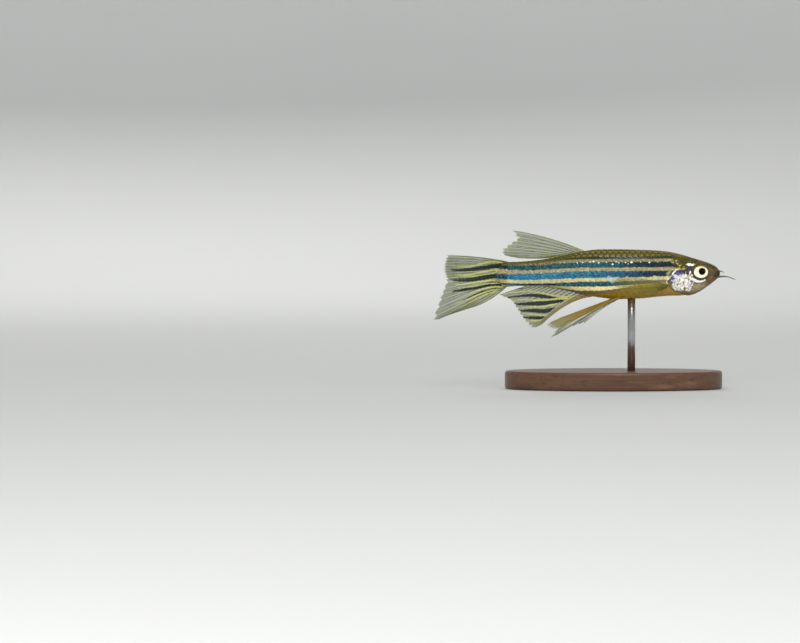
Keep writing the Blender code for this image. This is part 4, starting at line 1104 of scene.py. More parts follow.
def scale_paint():
    paint = Paint("scales", Roughness=0.34, Coat_Weight=0.14, Coat_Roughness=0.10, Specular_IOR_Level=0.22)
    coat, ragged = coat_colour(paint)
    tone, edge, run = paint.attribute("tone"), paint.attribute("edge"), paint.attribute("run")
    across = paint.attribute("across")
    stripe = paint.math("MAXIMUM", in_band(paint, ragged, 7, 8), in_band(paint, ragged, 5, 6))
    stripe = paint.math("MAXIMUM", stripe, in_band(paint, ragged, 3, 4))
    back = paint.step(ragged, 9.9, 10.3)
    pale = paint.math("SUBTRACT", paint.math("SUBTRACT", 1.0, stripe, clamp=True), back, clamp=True)
    rear_rim = paint.math("MULTIPLY", paint.step(edge, 0.72, 0.98), paint.step(run, -0.1, 0.5))
    # reticulation: dark rims on the back, warm rims on the pale bands, painted glitter of reflected light in cells on
    # the stripes, and a golden painted highlight in the middle of each scale on the back
    colour = paint.mix(paint.math("MULTIPLY", paint.math("MULTIPLY", rear_rim, back), 0.66), coat, srgb(36, 34, 15))
    # painted highlight: the middle of each scale on the back is lightened to gold
    middle = paint.step(edge, 0.2, 0.75, 1.0, 0.0)
    colour = paint.mix(paint.math("MULTIPLY", paint.math("MULTIPLY", middle, back), 0.36), colour, srgb(146, 130, 58))
    colour = paint.mix(paint.math("MULTIPLY", paint.math("MULTIPLY", rear_rim, pale), 0.10), colour, srgb(150, 122, 78))
    # the pale bands sparkle cream, pink and green
    clear_of_belly = paint.math("MULTIPLY", paint.math("MULTIPLY", pale, paint.step(ragged, 1.9, 2.2)),
                                paint.step(ragged, 7.9, 9.1, 1.0, 0.0))
    for scale, low, amount, tint in ((6300, 0.53, 0.38, (252, 246, 208)), (2700, 0.50, 0.24, (170, 132, 112)),
                                     (3500, 0.55, 0.26, (112, 120, 82))):
        speck = paint.math("MULTIPLY", paint.step(paint.noise(scale, 1.0), low, low + 0.11), clear_of_belly)
        colour = paint.mix(paint.math("MULTIPLY", speck, amount), colour, srgb(*tint))
    # painted glitter: bright cyan specks stand in for light reflected off the stripes
    glitter = paint.step(paint.noise(5200, 1.0), 0.50, 0.62)
    far = paint.step(paint.attribute("back"), 9.0, 25.0, 0.22, 1.0)
    glitter = paint.math("MULTIPLY", paint.math("MULTIPLY", glitter, stripe), far)
    less = paint.math("SUBTRACT", 0.50, paint.math("MULTIPLY", in_band(paint, ragged, 7, 8), 0.18))
    colour = paint.mix(paint.math("MULTIPLY", glitter, less), colour, srgb(84, 172, 188))
    hue = paint.math("MULTIPLY", paint.math("MULTIPLY", paint.step(tone, 0.35, 1.0), in_band(paint, ragged, 5, 6)), 0.35)
    colour = paint.mix(hue, colour, srgb(30, 70, 128))
    colour = paint.mix(paint.math("MULTIPLY", paint.step(tone, 0.0, 1.0), 0.12), colour, srgb(60, 52, 30))
    dots = paint.step(paint.cells(9000), 0.12, 0.30, 1.0, 0.0)
    colour = paint.mix(paint.math("MULTIPLY", paint.math("MULTIPLY", dots, back), 0.55), colour, srgb(34, 34, 18))
    colour = paint.mix(paint.math("MULTIPLY", paint.step(paint.attribute("rose"), 0.2, 0.8), 0.35), colour, srgb(172, 112, 88))
    colour = paint.mix(paint.math("MULTIPLY", paint.step(paint.attribute("gold"), 0.2, 0.8), 0.60), colour, srgb(196, 182, 118))
    # the head's dark marks reach the front scales: pigment, and the painted shadow behind the gill cover's edge
    colour = paint.mix(paint.math("MULTIPLY", paint.step(paint.attribute("dark"), 0.2, 0.8), 0.40), colour, srgb(70, 58, 52))
    # painted glints, the brightest points of reflected light, along the top of the first stripe, and a paler painted
    # sheen on the third
    ragged_by = paint.math("MULTIPLY", paint.math("SUBTRACT", paint.noise(6000, 1.0), 0.5), 1.5)
    for spots, tint, amount in ((GLINTS, (246, 248, 244), 0.95), (SHEEN_AT, (170, 196, 204), 0.50)):
        near = paint.near(spots, 1.5)
        star = paint.step(paint.math("ADD", near, ragged_by), 0.55, 1.05, amount, 0.0)
        colour = paint.mix(star, colour, srgb(*tint))
    paint.set(Base_Color=colour)
    metal = paint.math("MULTIPLY_ADD", stripe, 0.22, paint.math("MULTIPLY", pale, 0.28))
    paint.set(Metallic=metal)
    # growth rings and fine radial lines on each scale
    rings = paint.math("SINE", paint.math("MULTIPLY", edge, 62.0))
    turn = paint.math("ARCTAN2", across, paint.math("ADD", run, 0.45))
    lines = paint.math("SINE", paint.math("MULTIPLY", turn, 26.0))
    height = paint.math("MULTIPLY_ADD", lines, 0.35, paint.math("MULTIPLY", rings, 0.5))
    height = paint.math("ADD", height, paint.noise(7000, 2.0))
    paint.bump(height, 0.0000022, 0.5)
    return paint.material


# ---- the eyes ---------------------------------------------------------------
PUPIL_AT = np.array([0.22, 0.10])  # the pupil sits forward of the middle and above it


def make_eye(side, iris_paint, dark_paint, clear_paint):
    axes, centre = eye_axes(side), eye_centre(side)
    word = "left" if side > 0 else "right"

    def placed(local):
        return np.asarray(local) @ axes + centre

    segments = 144
    turn = np.arange(segments) / segments * 2 * math.pi
    # iris: a bulging ring from the pupil's edge to behind the rim of the socket
    where = np.concatenate([[-0.10, -0.03], np.linspace(0, 1, 34), [1.02]])
    height = np.interp(where, IRIS_WHERE, IRIS_HEIGHT)
    rho, phi = np.meshgrid(where, turn, indexing="ij")
    notch = 0.055 * np.exp(-((np.angle(np.exp(1j * (phi - 0.45)))) / 0.42) ** 2) * np.clip(1 - rho, 0, 1) ** 2
    radius = 0.57 + notch + (1.262 - 0.57 - notch) * np.clip(rho, 0, 1.0) + np.minimum(rho, 0) * 0.25
    at = np.clip(1 - rho, 0, 1) ** 0.8
    fibre = 0.006 * np.sin(phi * 36 + 3 * np.sin(phi * 5)) * np.sin(math.pi * np.clip(rho, 0, 1))
    local = np.stack([PUPIL_AT[0] * at + radius * np.cos(phi), PUPIL_AT[1] * at + radius * np.sin(phi),
                      np.interp(rho, where, height) + fibre], -1)
    build = Build()
    faces = grid_faces(len(where), segments, closed=True).tolist()
    faces.append([k for k in range(segments)][::-1])
    faces.append([(len(where) - 1) * segments + k for k in range(segments)])
    r = np.hypot(local[..., 0], local[..., 1])
    uv = 0.5 + 0.46 * local[..., :2] / 1.30
    oval = np.hypot(local[..., 0] / 1.18, (local[..., 1] + 0.012) / 0.955)
    build.add(placed(local), faces, uv=uv, radial=np.clip(rho, 0, 1).ravel(), out=(r / 1.262).ravel(), oval=oval.ravel(),
              low=(local[..., 1] / 1.262).ravel(), fore=(local[..., 0] / 1.262).ravel(), turn=phi.ravel())
    iris = build.object("iris_" + word, [iris_paint])
    fix_normals(iris)
    # lens: a ball that fills the pupil and stands a little out of it
    build = Build()
    steps = np.linspace(0.03, 1.0, 26) * math.pi
    profile = np.stack([0.63 * np.sin(steps), 0.02 + 0.56 * np.cos(steps)], -1)
    profile[-1, 0] = 0.01
    points, faces = dome(profile, 72)
    faces = faces.tolist() + [list(range(72)), [(len(profile) - 1) * 72 + k for k in range(72)][::-1]]
    points = points + np.array([PUPIL_AT[0], PUPIL_AT[1], 0])
    points[:, 2] = np.minimum(points[:, 2], 0.66)
    build.add(placed(points), faces, uv=0.5 + 0.4 * points[:, :2])
    lens = build.object("lens_" + word, [dark_paint])
    fix_normals(lens)
    # cornea: a clear shell over both
    build = Build()
    outer = np.concatenate([[0.02], np.linspace(0.08, 1.0, 26)]) * 1.235
    z_out = 0.385 + 0.395 * np.sqrt(np.clip(1 - (outer / 1.25) ** 2, 0, 1))
    inner = outer[::-1] * 0.985
    z_in = 0.375 + 0.385 * np.sqrt(np.clip(1 - (inner / 1.25) ** 2, 0, 1))
    profile = np.stack([np.concatenate([outer, inner]), np.concatenate([z_out, z_in])], -1)
    points, faces = dome(profile, 96)
    faces = faces.tolist() + [list(range(96)), [(len(profile) - 1) * 96 + k for k in range(96)][::-1]]
    build.add(placed(points), faces, uv=0.5 + 0.35 * points[:, :2])
    cornea = build.object("cornea_" + word, [clear_paint])
    fix_normals(cornea)
    return [iris, lens, cornea]


def eye_paints():
    iris = Paint("iris", Roughness=0.42, Coat_Weight=0.15, Coat_Roughness=0.10, Metallic=0.10)
    radial, out, low = iris.attribute("radial"), iris.attribute("out"), iris.attribute("low")
    fore = iris.attribute("fore")
    fibres = iris.math("SINE", iris.math("MULTIPLY", iris.attribute("turn"), 58.0))
    streak = iris.math("MULTIPLY_ADD", fibres, 0.18, iris.noise(4200, 3.0))
    colour = iris.mix(iris.step(streak, 0.35, 0.75), srgb(246, 240, 210), srgb(226, 214, 172))
    colour = iris.mix(iris.step(fore, 0.1, -0.8, 0.0, 0.4), colour, srgb(240, 232, 212))
    colour = iris.mix(iris.step(radial, 0.02, 0.13, 0.85, 0.0), colour, srgb(176, 150, 88))
    colour = iris.mix(iris.step(low, 0.30, 0.80, 0.0, 0.62), colour, srgb(204, 194, 96))
    wander = iris.math("MULTIPLY_ADD", iris.math("SUBTRACT", iris.noise(1500, 2.0), 0.5), 0.16, iris.attribute("oval"))
    edge = iris.step(wander, 0.955, 1.035)
    lower = iris.step(low, 0.25, -0.30)
    colour = iris.mix(iris.math("MULTIPLY", edge, iris.math("MULTIPLY_ADD", lower, 0.04, 0.92)), colour,
                      iris.mix(lower, srgb(60, 49, 22), srgb(34, 27, 20)))
    blot = iris.step(iris.noise(1500, 2.0), 0.60, 0.72)
    colour = iris.mix(iris.math("MULTIPLY", blot, iris.step(out, 0.72, 0.92, 0.0, 0.45)), colour, srgb(120, 98, 50))
    iris.set(Base_Color=colour)
    iris.bump(streak, 0.000012, 0.5)
    dark = Paint("pupil", Roughness=0.35, Specular_IOR_Level=0.04)
    dark.set(Base_Color=dark.mix(dark.step(dark.noise(1200, 1.0), 0.4, 0.7), srgb(3, 3, 3), srgb(6, 6, 5)))
    clear = Paint("cornea")
    tree = clear.tree
    through = tree.nodes.new("ShaderNodeBsdfTransparent")
    gloss = tree.nodes.new("ShaderNodeBsdfGlossy")
    gloss.inputs["Roughness"].default_value = 0.02
    fresnel = tree.nodes.new("ShaderNodeFresnel")
    fresnel.inputs["IOR"].default_value = 1.18
    mix = tree.nodes.new("ShaderNodeMixShader")
    # the shell's inner faces would mirror everything at a slant, so the mirroring has a limit
    limit = clear.math("MINIMUM", fresnel.outputs[0], 0.16)
    tree.links.new(limit, mix.inputs[0])
    tree.links.new(through.outputs[0], mix.inputs[1])
    tree.links.new(gloss.outputs[0], mix.inputs[2])
    output = next(n for n in tree.nodes if n.type == "OUTPUT_MATERIAL")
    tree.links.new(mix.outputs[0], output.inputs["Surface"])
    tree.nodes.remove(clear.shader)
    return iris.material, dark.material, clear.material


# ---- the fins ---------------------------------------------------------------
def sheet_map(roots, tips, bow, outward):
    """Maps u (across the rays) and v (root to tip) to points of the fin's middle sheet."""
    roots, tips = np.asarray(roots, float), np.asarray(tips, float)

    def at(u, v):
        u, v = np.broadcast_arrays(np.asarray(u, float), np.asarray(v, float))
        s = spread(roots[:, 0], u) * (1 - v) + spread(tips[:, 0], u) * v
        h = spread(roots[:, 1], u) * (1 - v) + spread(tips[:, 1], u) * v
        h = h + spread(bow, u) * 4 * v * (1 - v)
        return np.stack([-s, outward(s, h, u, v), h], -1)

    return at


def sheet_normal(at, u, v):
    e = 0.004
    return unit(np.cross(at(u + e, v) - at(u - e, v), at(u, v + e) - at(u, v - e)))


def stripe(s, h, line, width):
    gap, t = line_distance(s, h, smooth_chain(line))
    width = width * (1 - 0.65 * smooth(0.45, 1.0, t)) * smooth(-0.08, 0.12, t)
    return 1 - smooth(0.35, 1.0, gap / width), t


def make_fin(name, at, count, paints, marks, seed, base=-0.05, radius=0.085, spare=0.02, notch=0.035,
             first_split=0.42, next_split=0.70, thick=0.013, margin=(1.0, 1.0)):
    """Membrane and jointed, twice-branched rays of one fin. marks(s, h, u, v) gives its colours;
    margin tells how much of their full length the rays reach, from the first to the last."""
    chance = np.random.default_rng(seed)
    build = Build()
    gaps = count - 1
    # membrane, a closed sheet pleated between the rays, with its edge drawn in between their tips
    per = 6
    nu, nv = gaps * per + 1, 64
    u = np.linspace(0, 1, nu)
    ends = 1.0 - notch * np.sin(math.pi * u * gaps) ** 2 - spare * chance.random(nu) * 0.5
    ends[::per] = 1.0 - spare * chance.random(len(ends[::per]))
    ends *= spread(margin, u)
    v = base + (ends[None, :] - base) * np.linspace(0, 1, nv)[:, None] ** 1.0
    uu = np.broadcast_to(u, v.shape)
    middle = at(uu, v)
    normal = sheet_normal(at, np.clip(uu, 0.005, 0.995), v)
    pleat = 0.020 * np.cos(2 * math.pi * uu * gaps) + 0.010 * np.sin(uu * 23 + v * 9)
    middle = middle + normal * (pleat * smooth(0.0, 0.25, v))[..., None]
    s, h = -middle[..., 0], middle[..., 2]
    colours = {k: np.concatenate([x.ravel(), x.ravel()]) for k, x in marks(s, h, uu, v).items()}
    points = np.concatenate([(middle + normal * thick).reshape(-1, 3), (middle - normal * thick).reshape(-1, 3)])
    half = nu * nv
    rim = ([j for j in range(nu)] + [i * nu + nu - 1 for i in range(1, nv)]
           + [(nv - 1) * nu + j for j in range(nu - 2, -1, -1)] + [i * nu for i in range(nv - 2, 0, -1)])
    top = grid_faces(nv, nu).tolist()
    faces = top + [[k + half for k in f[::-1]] for f in top]
    faces += [[b, a, a + half, b + half] for a, b in zip(rim, rim[1:] + rim[:1])]
    flat = np.stack([0.02 + 0.46 * uu, 0.02 + 0.62 * (v - base) / (1 - base)], -1).reshape(-1, 2)
    build.add(points, faces, uv=np.concatenate([flat, flat + np.array([0.5, 0])]), paint=0, tip=np.concatenate([v.ravel()] * 2),
              **colours)
    # rays
    pieces_ = []
    for k in range(count):
        u0 = k / gaps
        a, b = first_split + 0.06 * (chance.random() - 0.5), next_split + 0.06 * (chance.random() - 0.5)
        end = (1.0 + 0.012 * chance.random()) * float(spread(margin, u0))
        if k == 0:
            pieces_.append((0, [(base, 0.0), (end, 0.0)], u0))
            continue
        lean = 0.5 if k == gaps else 1.0
        pieces_.append((0, [(base, 0.0), (a, 0.0)], u0))
        for x in (-1, 1):
            off = 0.20 * x * lean
            pieces_.append((1, [(a - 0.01, 0.0), (a + 0.5 * (b - a), 0.7 * off), (b, off)], u0))
            for y in (-1, 1):
                far = off + 0.125 * y * lean
                pieces_.append((2, [(b - 0.01, off), (b + 0.4 * (1 - b), off + 0.09 * y * lean), (end - 0.01 * (y > 0), far)], u0))
    for k, (level, track, u0) in enumerate(pieces_):
        track = np.array(track)
        ends_u = u0 + track[:, 1] / gaps
        ends_u = np.clip(ends_u, 0.0, 1.0)
        rough = at(np.clip(np.interp(np.linspace(0, 1, 30), np.linspace(0, 1, len(track)), ends_u), 0, 1),
                   np.interp(np.linspace(0, 1, 30), np.linspace(0, 1, len(track)), track[:, 0]))
        reach = np.linalg.norm(np.diff(rough, axis=0), axis=1).sum()
        steps = max(6, int(reach / 0.125))
        vv = np.linspace(track[0, 0], track[-1, 0], steps)
        ru = np.interp(vv, track[:, 0], ends_u)
        if len(track) > 2:
            ru = np.interp(vv, track[:, 0], ends_u) * 0.5 + 0.5 * (
                ends_u[0] + (ends_u[-1] - ends_u[0]) * smooth(track[0, 0], track[-1, 0], vv))
        p = at(ru, vv)
        nrm = sheet_normal(at, np.clip(ru, 0.005, 0.995), vv)
        p = p + nrm * (0.020 * smooth(0.0, 0.25, vv) + 0.010 * np.sin(ru * 23 + vv * 9) * smooth(0.0, 0.25, vv))[:, None]
        size = radius * (1.18 if u0 == 0 else 1.0) * (1 - 0.55 * np.clip(vv, 0, 1)) * (1.0, 0.74, 0.56)[level]
        joint = np.where((np.arange(steps) % 3 == 0) & (vv > 0.10), 0.74, 1.0)
        size = size * joint
        if level == 2 or u0 == 0:
            size = size * (1 - 0.6 * smooth(0.93, 1.01, vv))
        points, faces, t = rod_mesh(p, nrm, size, flat=0.80)
        s, h = -points[:, 0], points[:, 2]
        across = np.full(len(points), u0)
        colours = marks(s, h, across, np.repeat(vv, 6))
        slot = (k + 0.5) / len(pieces_)
        ring = np.tile(np.abs(np.arange(6) - 3) / 3.0, steps)
        uv = np.stack([0.02 + 0.96 * slot + 0.5 / len(pieces_) * (ring - 0.5) * 0.9, 0.68 + 0.30 * t], -1)
        build.add(points, faces, uv=uv, paint=1, tip=np.repeat(vv, 6), **colours)
    made = build.object(name, paints)
    fix_normals(made)
    print(name, len(build.faces))
    return made


def fin_paints():
    def tinted(name, base, opaque, rough, pigment=1.0):
        paint = Paint(name, Roughness=rough, Coat_Weight=0.10, Coat_Roughness=0.14, Specular_IOR_Level=0.22)
        light, dark, gold, pale = (paint.attribute(k) for k in ("light", "dark", "gold", "pale"))
        break_up = paint.math("SUBTRACT", paint.noise(2400, 3.0), 0.5)
        fine = paint.noise(6500, 2.0)

        def soft(x, low=0.2, high=0.7, by=0.7):
            return paint.step(paint.math("MULTIPLY_ADD", break_up, by, x), low, high)

        colour = paint.mix(paint.step(fine, 0.3, 0.7), base[0], base[1])
        light_, dark_, gold_ = soft(light), soft(dark), soft(gold, 0.15, 0.8, 0.4)
        colour = paint.mix(gold_, colour, srgb(124, 102, 26))
        colour = paint.mix(dark_, colour, srgb(18, 30, 22))
        colour = paint.mix(light_, colour, srgb(172, 174, 96))
        colour = paint.mix(paint.math("MULTIPLY", pale, 0.75), colour, srgb(128, 138, 72))
        cells = paint.step(paint.cells(6200), 0.10, 0.26, 1.0, 0.0)
        colour = paint.mix(paint.math("MULTIPLY", cells, 0.40 * pigment), colour, srgb(40, 40, 24))
        solid = paint.math("MAXIMUM", paint.math("MULTIPLY", light_, 0.72), paint.math("MULTIPLY", dark_, 0.80))
        solid = paint.math("MAXIMUM", solid, paint.math("MULTIPLY", gold_, 0.60))
        solid = paint.math("MAXIMUM", solid, paint.math("MULTIPLY", pale, 0.55))
        solid = paint.math("MAXIMUM", solid, opaque)
        solid = paint.math("MAXIMUM", solid, paint.math("MULTIPLY", cells, 0.45 * pigment))
        paint.set(Base_Color=colour, Alpha=solid)
        paint.bump(paint.noise(5200, 2.0), 0.000008, 0.5)
        return paint.material

    membrane = tinted("fin_membrane", (srgb(84, 92, 26), srgb(60, 72, 18)), 0.33, 0.36)
    clear = tinted("fin_clear_membrane", (srgb(120, 126, 62), srgb(100, 108, 50)), 0.06, 0.30, 0.12)
    rays = tinted("fin_rays", (srgb(108, 114, 42), srgb(74, 84, 28)), 0.80, 0.38)
    clear_rays = tinted("fin_clear_rays", (srgb(112, 118, 46), srgb(84, 92, 34)), 0.44, 0.36, 0.12)
    return membrane, rays, clear, clear_rays


def px(x, y):
    """A place measured on the fish's side view, as (s, h)."""
    return (720.5 - x) / 6.056, (274.0 - y) / 6.056


TAIL_LIGHT = [
    ([px(506, 263), px(490, 262), px(470, 266.5), px(450, 266)], 0.15),
    ([px(508, 269), px(492, 270.4), px(476, 273.4), px(462, 275.6), px(446, 273)], 0.19),
    ([px(500, 272.6), px(484, 274.8), px(468, 277.2), px(452, 276.6)], 0.11),
    ([px(508, 281.2), px(492, 280.4), px(478, 282), px(462, 284.6), px(446, 283.6)], 0.20),
    ([px(504, 283.2), px(488, 283.8), px(470, 287.2), px(450, 288.6)], 0.12),
    ([px(504, 287), px(492, 287.2), px(478, 290.6), px(464, 295)], 0.17),
    ([px(500, 289.0), px(490, 290.8), px(478, 295.0), px(466, 300), px(454, 305)], 0.16),
    ([px(498, 291.0), px(488, 294.0), px(474, 300.5), px(460, 308)], 0.13),
]
TAIL_DARK = [
    ([px(508, 265.8), px(494, 266.4), px(480, 268.5), px(462, 270.2), px(448, 270)], 0.50),
    ([px(508, 275), px(494, 275.8), px(480, 278.6), px(462, 280.5), px(450, 280)], 0.66),
    ([px(508, 284.8), px(492, 284.3), px(478, 287.0), px(460, 290.5), px(446, 292)], 0.52),
    ([px(500, 288.4), px(484, 292.4), px(470, 298.0), px(458, 303.5)], 0.34),
]
ANAL_LIGHT = [
    ([px(590, 296), px(566, 296.8), px(554, 295.9), px(541, 293), px(529, 291.4), px(516, 292.3), px(499, 294)], 0.18),
    ([px(578, 298.6), px(559, 298.8), px(548.6, 299.9), px(538, 300.4), px(525, 299.8), px(509, 300.8)], 0.20),
    ([px(560, 303.5), px(548.6, 305.7), px(541, 307), px(530.7, 307), px(517, 308.6)], 0.20),
    ([px(553, 314.2), px(543, 315.5), px(534, 314.6), px(521, 313.6)], 0.19),
    ([px(543, 320.3), px(527, 321.4)], 0.20),
]
ANAL_DARK = [
    ([px(578, 293.0), px(560, 292.0), px(545, 289.4), px(530, 287.9), px(510, 289.5)], 0.40),
    ([px(576, 297.8), px(556, 297.6), px(545, 296.6), px(530, 295.6), px(507, 297.6)], 0.46),
    ([px(564, 301.0), px(548, 303.0), px(535, 303.8), px(512, 304.6)], 0.54),
    ([px(558, 309.0), px(545, 311.2), px(532, 310.8), px(517, 311.2)], 0.50),
    ([px(550, 318.2), px(538, 318.2), px(523, 317.6)], 0.42),
]


def lines_mark(s, h, lines, fade=None):
    s, h = wandered(s, h, 0.034)
    out = np.zeros(np.shape(s))
    for line, width in lines:
        amount, _ = stripe(s, h, line, width)
        out = np.maximum(out, amount)
    return out if fade is None else out * fade


def back_sway(s, h, u, v):
    return 0.22 * v * np.abs(v) * np.sin(0.55 * (s - 22.0))


def belly_sway(s, h, u, v):
    return -0.24 * v * np.abs(v) * np.sin(0.50 * (s - 21.0))


def tail_sway(s, h, u, v):
    back = np.maximum(0.0, s - TAIL_END) / 10
    return 0.50 * back ** 2 + 0.16 * back * np.sin(0.75 * h + 0.6)


def make_fins(paints):
    membrane, rays, clear, clear_rays = paints
    made = {}

    def dorsal_marks(s, h, u, v):
        lead = 1 - smooth(0.0, 0.07, u)
        edge = smooth(0.74, 0.88, v) * smooth(0.02, 0.15, u) * (1 - smooth(0.55, 0.75, u))
        return {"light": 0.30 * lead + 0.20 * (1 - smooth(0.0, 0.25, v)), "dark": 0.0 * s,
                "gold": 0.35 * lead, "pale": 0.55 * edge}

    roots = [(s, float(along(s, TOP)) + 0.07) for s in (22.7, 23.8, 24.9, 26.0, 27.1, 28.2)]
    at = sheet_map(roots, ((34.35, 7.15), (35.0, 6.05), (35.75, 4.95), (36.3, 3.88), (35.6, 3.05), (33.4, 2.62)),
                   (0.40, 0.28, 0.16, 0.05, -0.05, -0.10), back_sway)
    made["dorsal_fin"] = make_fin("fin_dorsal", at, 10, [membrane, rays], dorsal_marks, 11, base=-0.06, radius=0.080,
                                  margin=(1.0, 0.87, 0.92, 0.97, 1.0, 1.0))

    def anal_marks(s, h, u, v):
        lead = 1 - smooth(0.10, 0.30, u)
        striped = smooth(0.10, 0.26, u)
        light = lines_mark(s, h, ANAL_LIGHT) * striped
        dark = lines_mark(s, h, ANAL_DARK) * striped
        return {"light": light, "dark": dark * (1 - 0.8 * light) * smooth(0.05, 0.35, v), "gold": 0.80 * lead * (1 - 0.5 * v),
                "pale": 0.0 * s}

    roots = [(s, float(along(s, UNDER)) - 0.07) for s in (21.6, 23.7, 25.8, 27.9, 30.0, 32.2)]
    at = sheet_map(roots, ((29.6, -8.5), (31.0, -8.95), (32.45, -7.6), (33.6, -5.8), (34.6, -4.4), (36.5, -3.45)),
                   (0.85, 0.55, 0.35, 0.2, 0.1, 0.05), belly_sway)
    made["anal_fin"] = make_fin("fin_anal", at, 15, [membrane, rays], anal_marks, 12, base=-0.05, radius=0.090)

    def tail_marks(s, h, u, v):
        far = 1 - smooth(42.5, 45.5, s)
        light = lines_mark(s, h, TAIL_LIGHT) * far
        dark = lines_mark(s, h, TAIL_DARK) * (1 - smooth(43.0, 46.0, s))
        lower_edge = (1 - smooth(0.0, 0.10, 1 - u)) if np.ndim(u) else 0.0
        return {"light": light, "dark": dark * (1 - 0.8 * light), "gold": 0.25 * lower_edge * far + 0.0 * s,
                "pale": 0.0 * s}

    clear_of = 0.06
    at = sheet_map([(36.0, 2.10), (36.37 + clear_of, 1.55), (36.52 + clear_of, 0.8), (TAIL_END + clear_of, -0.17)],
                   ((45.2, 3.0), (45.6, 1.6), (45.6, 0.3), (45.2, -0.95)), (0.22, 0.05, 0.0, 0.1), tail_sway)
    made["caudal_fin_upper"] = make_fin("fin_tail_upper", at, 10, [membrane, rays], tail_marks, 13, base=-0.10,
                                        radius=0.105, first_split=0.36, next_split=0.66)
    at = sheet_map([(TAIL_END + clear_of, -0.23), (36.52 + clear_of, -1.1), (36.37 + clear_of, -1.9), (35.7, -2.42)],
                   ((45.2, -1.05), (45.9, -2.97), (46.6, -4.95), (47.3, -7.6), (45.3, -6.98), (42.5, -5.9)),
                   (0.1, 0.15, 0.1, -0.1, -0.35, -0.62), tail_sway)
    made["caudal_fin_lower"] = make_fin("fin_tail_lower", at, 11, [membrane, rays], tail_marks, 14, base=-0.10,
                                        radius=0.105, first_split=0.36, next_split=0.66)

    for side, word in ((-1, "right"), (1, "left")):
        def breast(s, h, u, v, side=side):
            return side * (flank(s, h) + 0.14 + 0.29 * v + 1.05 * v * np.abs(v))

        def breast_marks(s, h, u, v):
            lead = 1 - smooth(0.0, 0.08, u)
            return {"light": 0.20 * lead, "dark": 0.0 * s, "gold": 0.10 * lead, "pale": 0.10 * smooth(0.3, 1.0, v)}

        at = sheet_map(((9.05, -1.72), (9.15, -2.0), (9.3, -2.3), (9.5, -2.6)),
                       ((17.4, -0.62), (17.9, -1.2), (17.3, -2.2), (15.3, -3.0), (12.6, -3.15)),
                       (0.35, 0.1, -0.05, -0.1, -0.1), breast)
        made["pectoral_fin_" + word] = make_fin("fin_pectoral_" + word, at, 12, [clear, clear_rays], breast_marks,
                                                15 + side, base=-0.05, radius=0.055, first_split=0.40)

    for word, side, roots_s, tips, tips_y, bow, gilded in (
            ("right", -1, (16.6, 17.1, 17.6, 18.1), ((27.1, -9.1), (28.1, -8.9), (28.6, -8.3), (26.6, -7.3)),
             (2.5, 2.1, 1.6, 1.1), (0.0, 0.05, 0.05, 0.0), 0.9),
            ("left", 1, (15.7, 16.5, 17.3, 18.1), ((22.4, -8.3), (24.6, -8.9), (27.8, -10.6), (26.4, -8.6)),
             (2.9, 2.6, 2.2, 1.4), (0.4, 0.25, 0.1, 0.1), 0.25)):
        roots_y = (1.25, 1.05, 0.85, 0.65)
        roots = [(s, float(underside(s, y)) - 0.22) for s, y in zip(roots_s, roots_y)]

        def outward(s, h, u, v, side=side, tips_y=tips_y):
            return side * (spread(roots_y, u) * (1 - v) + spread(tips_y, u) * v)

        def belly_marks(s, h, u, v, gilded=gilded):
            return {"light": 0.35 * (1 - smooth(0.0, 0.1, u)) + 0.0 * v, "dark": 0.0 * s,
                    "gold": gilded * (1 - 0.45 * smooth(0.35, 1.0, v)) + 0.0 * u,
                    "pale": (0.7 if gilded < 0.5 else 0.25) * smooth(0.55, 1.0, v)}

        at = sheet_map(roots, tips, bow, outward)
        look = [membrane, rays] if gilded > 0.5 else [clear, clear_rays]
        made["pelvic_fin_" + word] = make_fin("fin_pelvic_" + word, at, 8, look, belly_marks, 18 + side,
                                              base=-0.08, radius=0.085, notch=0.06)
    return made


# ---- barbels ----------------------------------------------------------------
def make_barbel(name, points, radii, paint):
    points = np.asarray(points, float)
    u = np.linspace(0, 1, 90)
    s, y, h = (spread(points[:, k], u) for k in range(3))
    path = np.stack([-s, y, h], -1)
    size = np.interp(u, np.linspace(0, 1, len(radii)), radii)
    size = size * (1 + 0.035 * np.sin(u * 150)) * (1 - 0.75 * smooth(0.95, 1.0, u))
    vertices, faces, t = rod_mesh(path, np.array([0.0, 0.0, 1.0]), size, sides=14)
    build = Build()
    ring = np.tile(np.arange(14) / 14, 90)
    build.add(vertices, faces, uv=np.stack([t * 0.9 + 0.05, np.abs(ring - 0.5) * 1.8 + 0.05], -1), length=t)
    made = build.object(name, [paint])
    fix_normals(made)
    return made


def barbel_paint():
    paint = Paint("barbel_skin", Roughness=0.36, Coat_Weight=0.3, Coat_Roughness=0.12)
    colour = paint.ramp(paint.attribute("length"), (
        (0.0, srgb(70, 60, 32)), (0.5, srgb(66, 66, 38)), (1.0, srgb(100, 104, 74))))
    dots = paint.step(paint.cells(7000), 0.12, 0.30, 1.0, 0.0)
    paint.set(Base_Color=paint.mix(paint.math("MULTIPLY", dots, 0.6), colour, srgb(46, 40, 24)))
    paint.bump(paint.noise(5000, 2.0), 0.00001, 0.5)
    return paint.material


# ---- the stand --------------------------------------------------------------
BASE_LENGTH, BASE_WIDTH, BASE_HEIGHT = 36.0, 18.0, 3.0
ROD_X, ROD_RADIUS = 2.95, 0.65


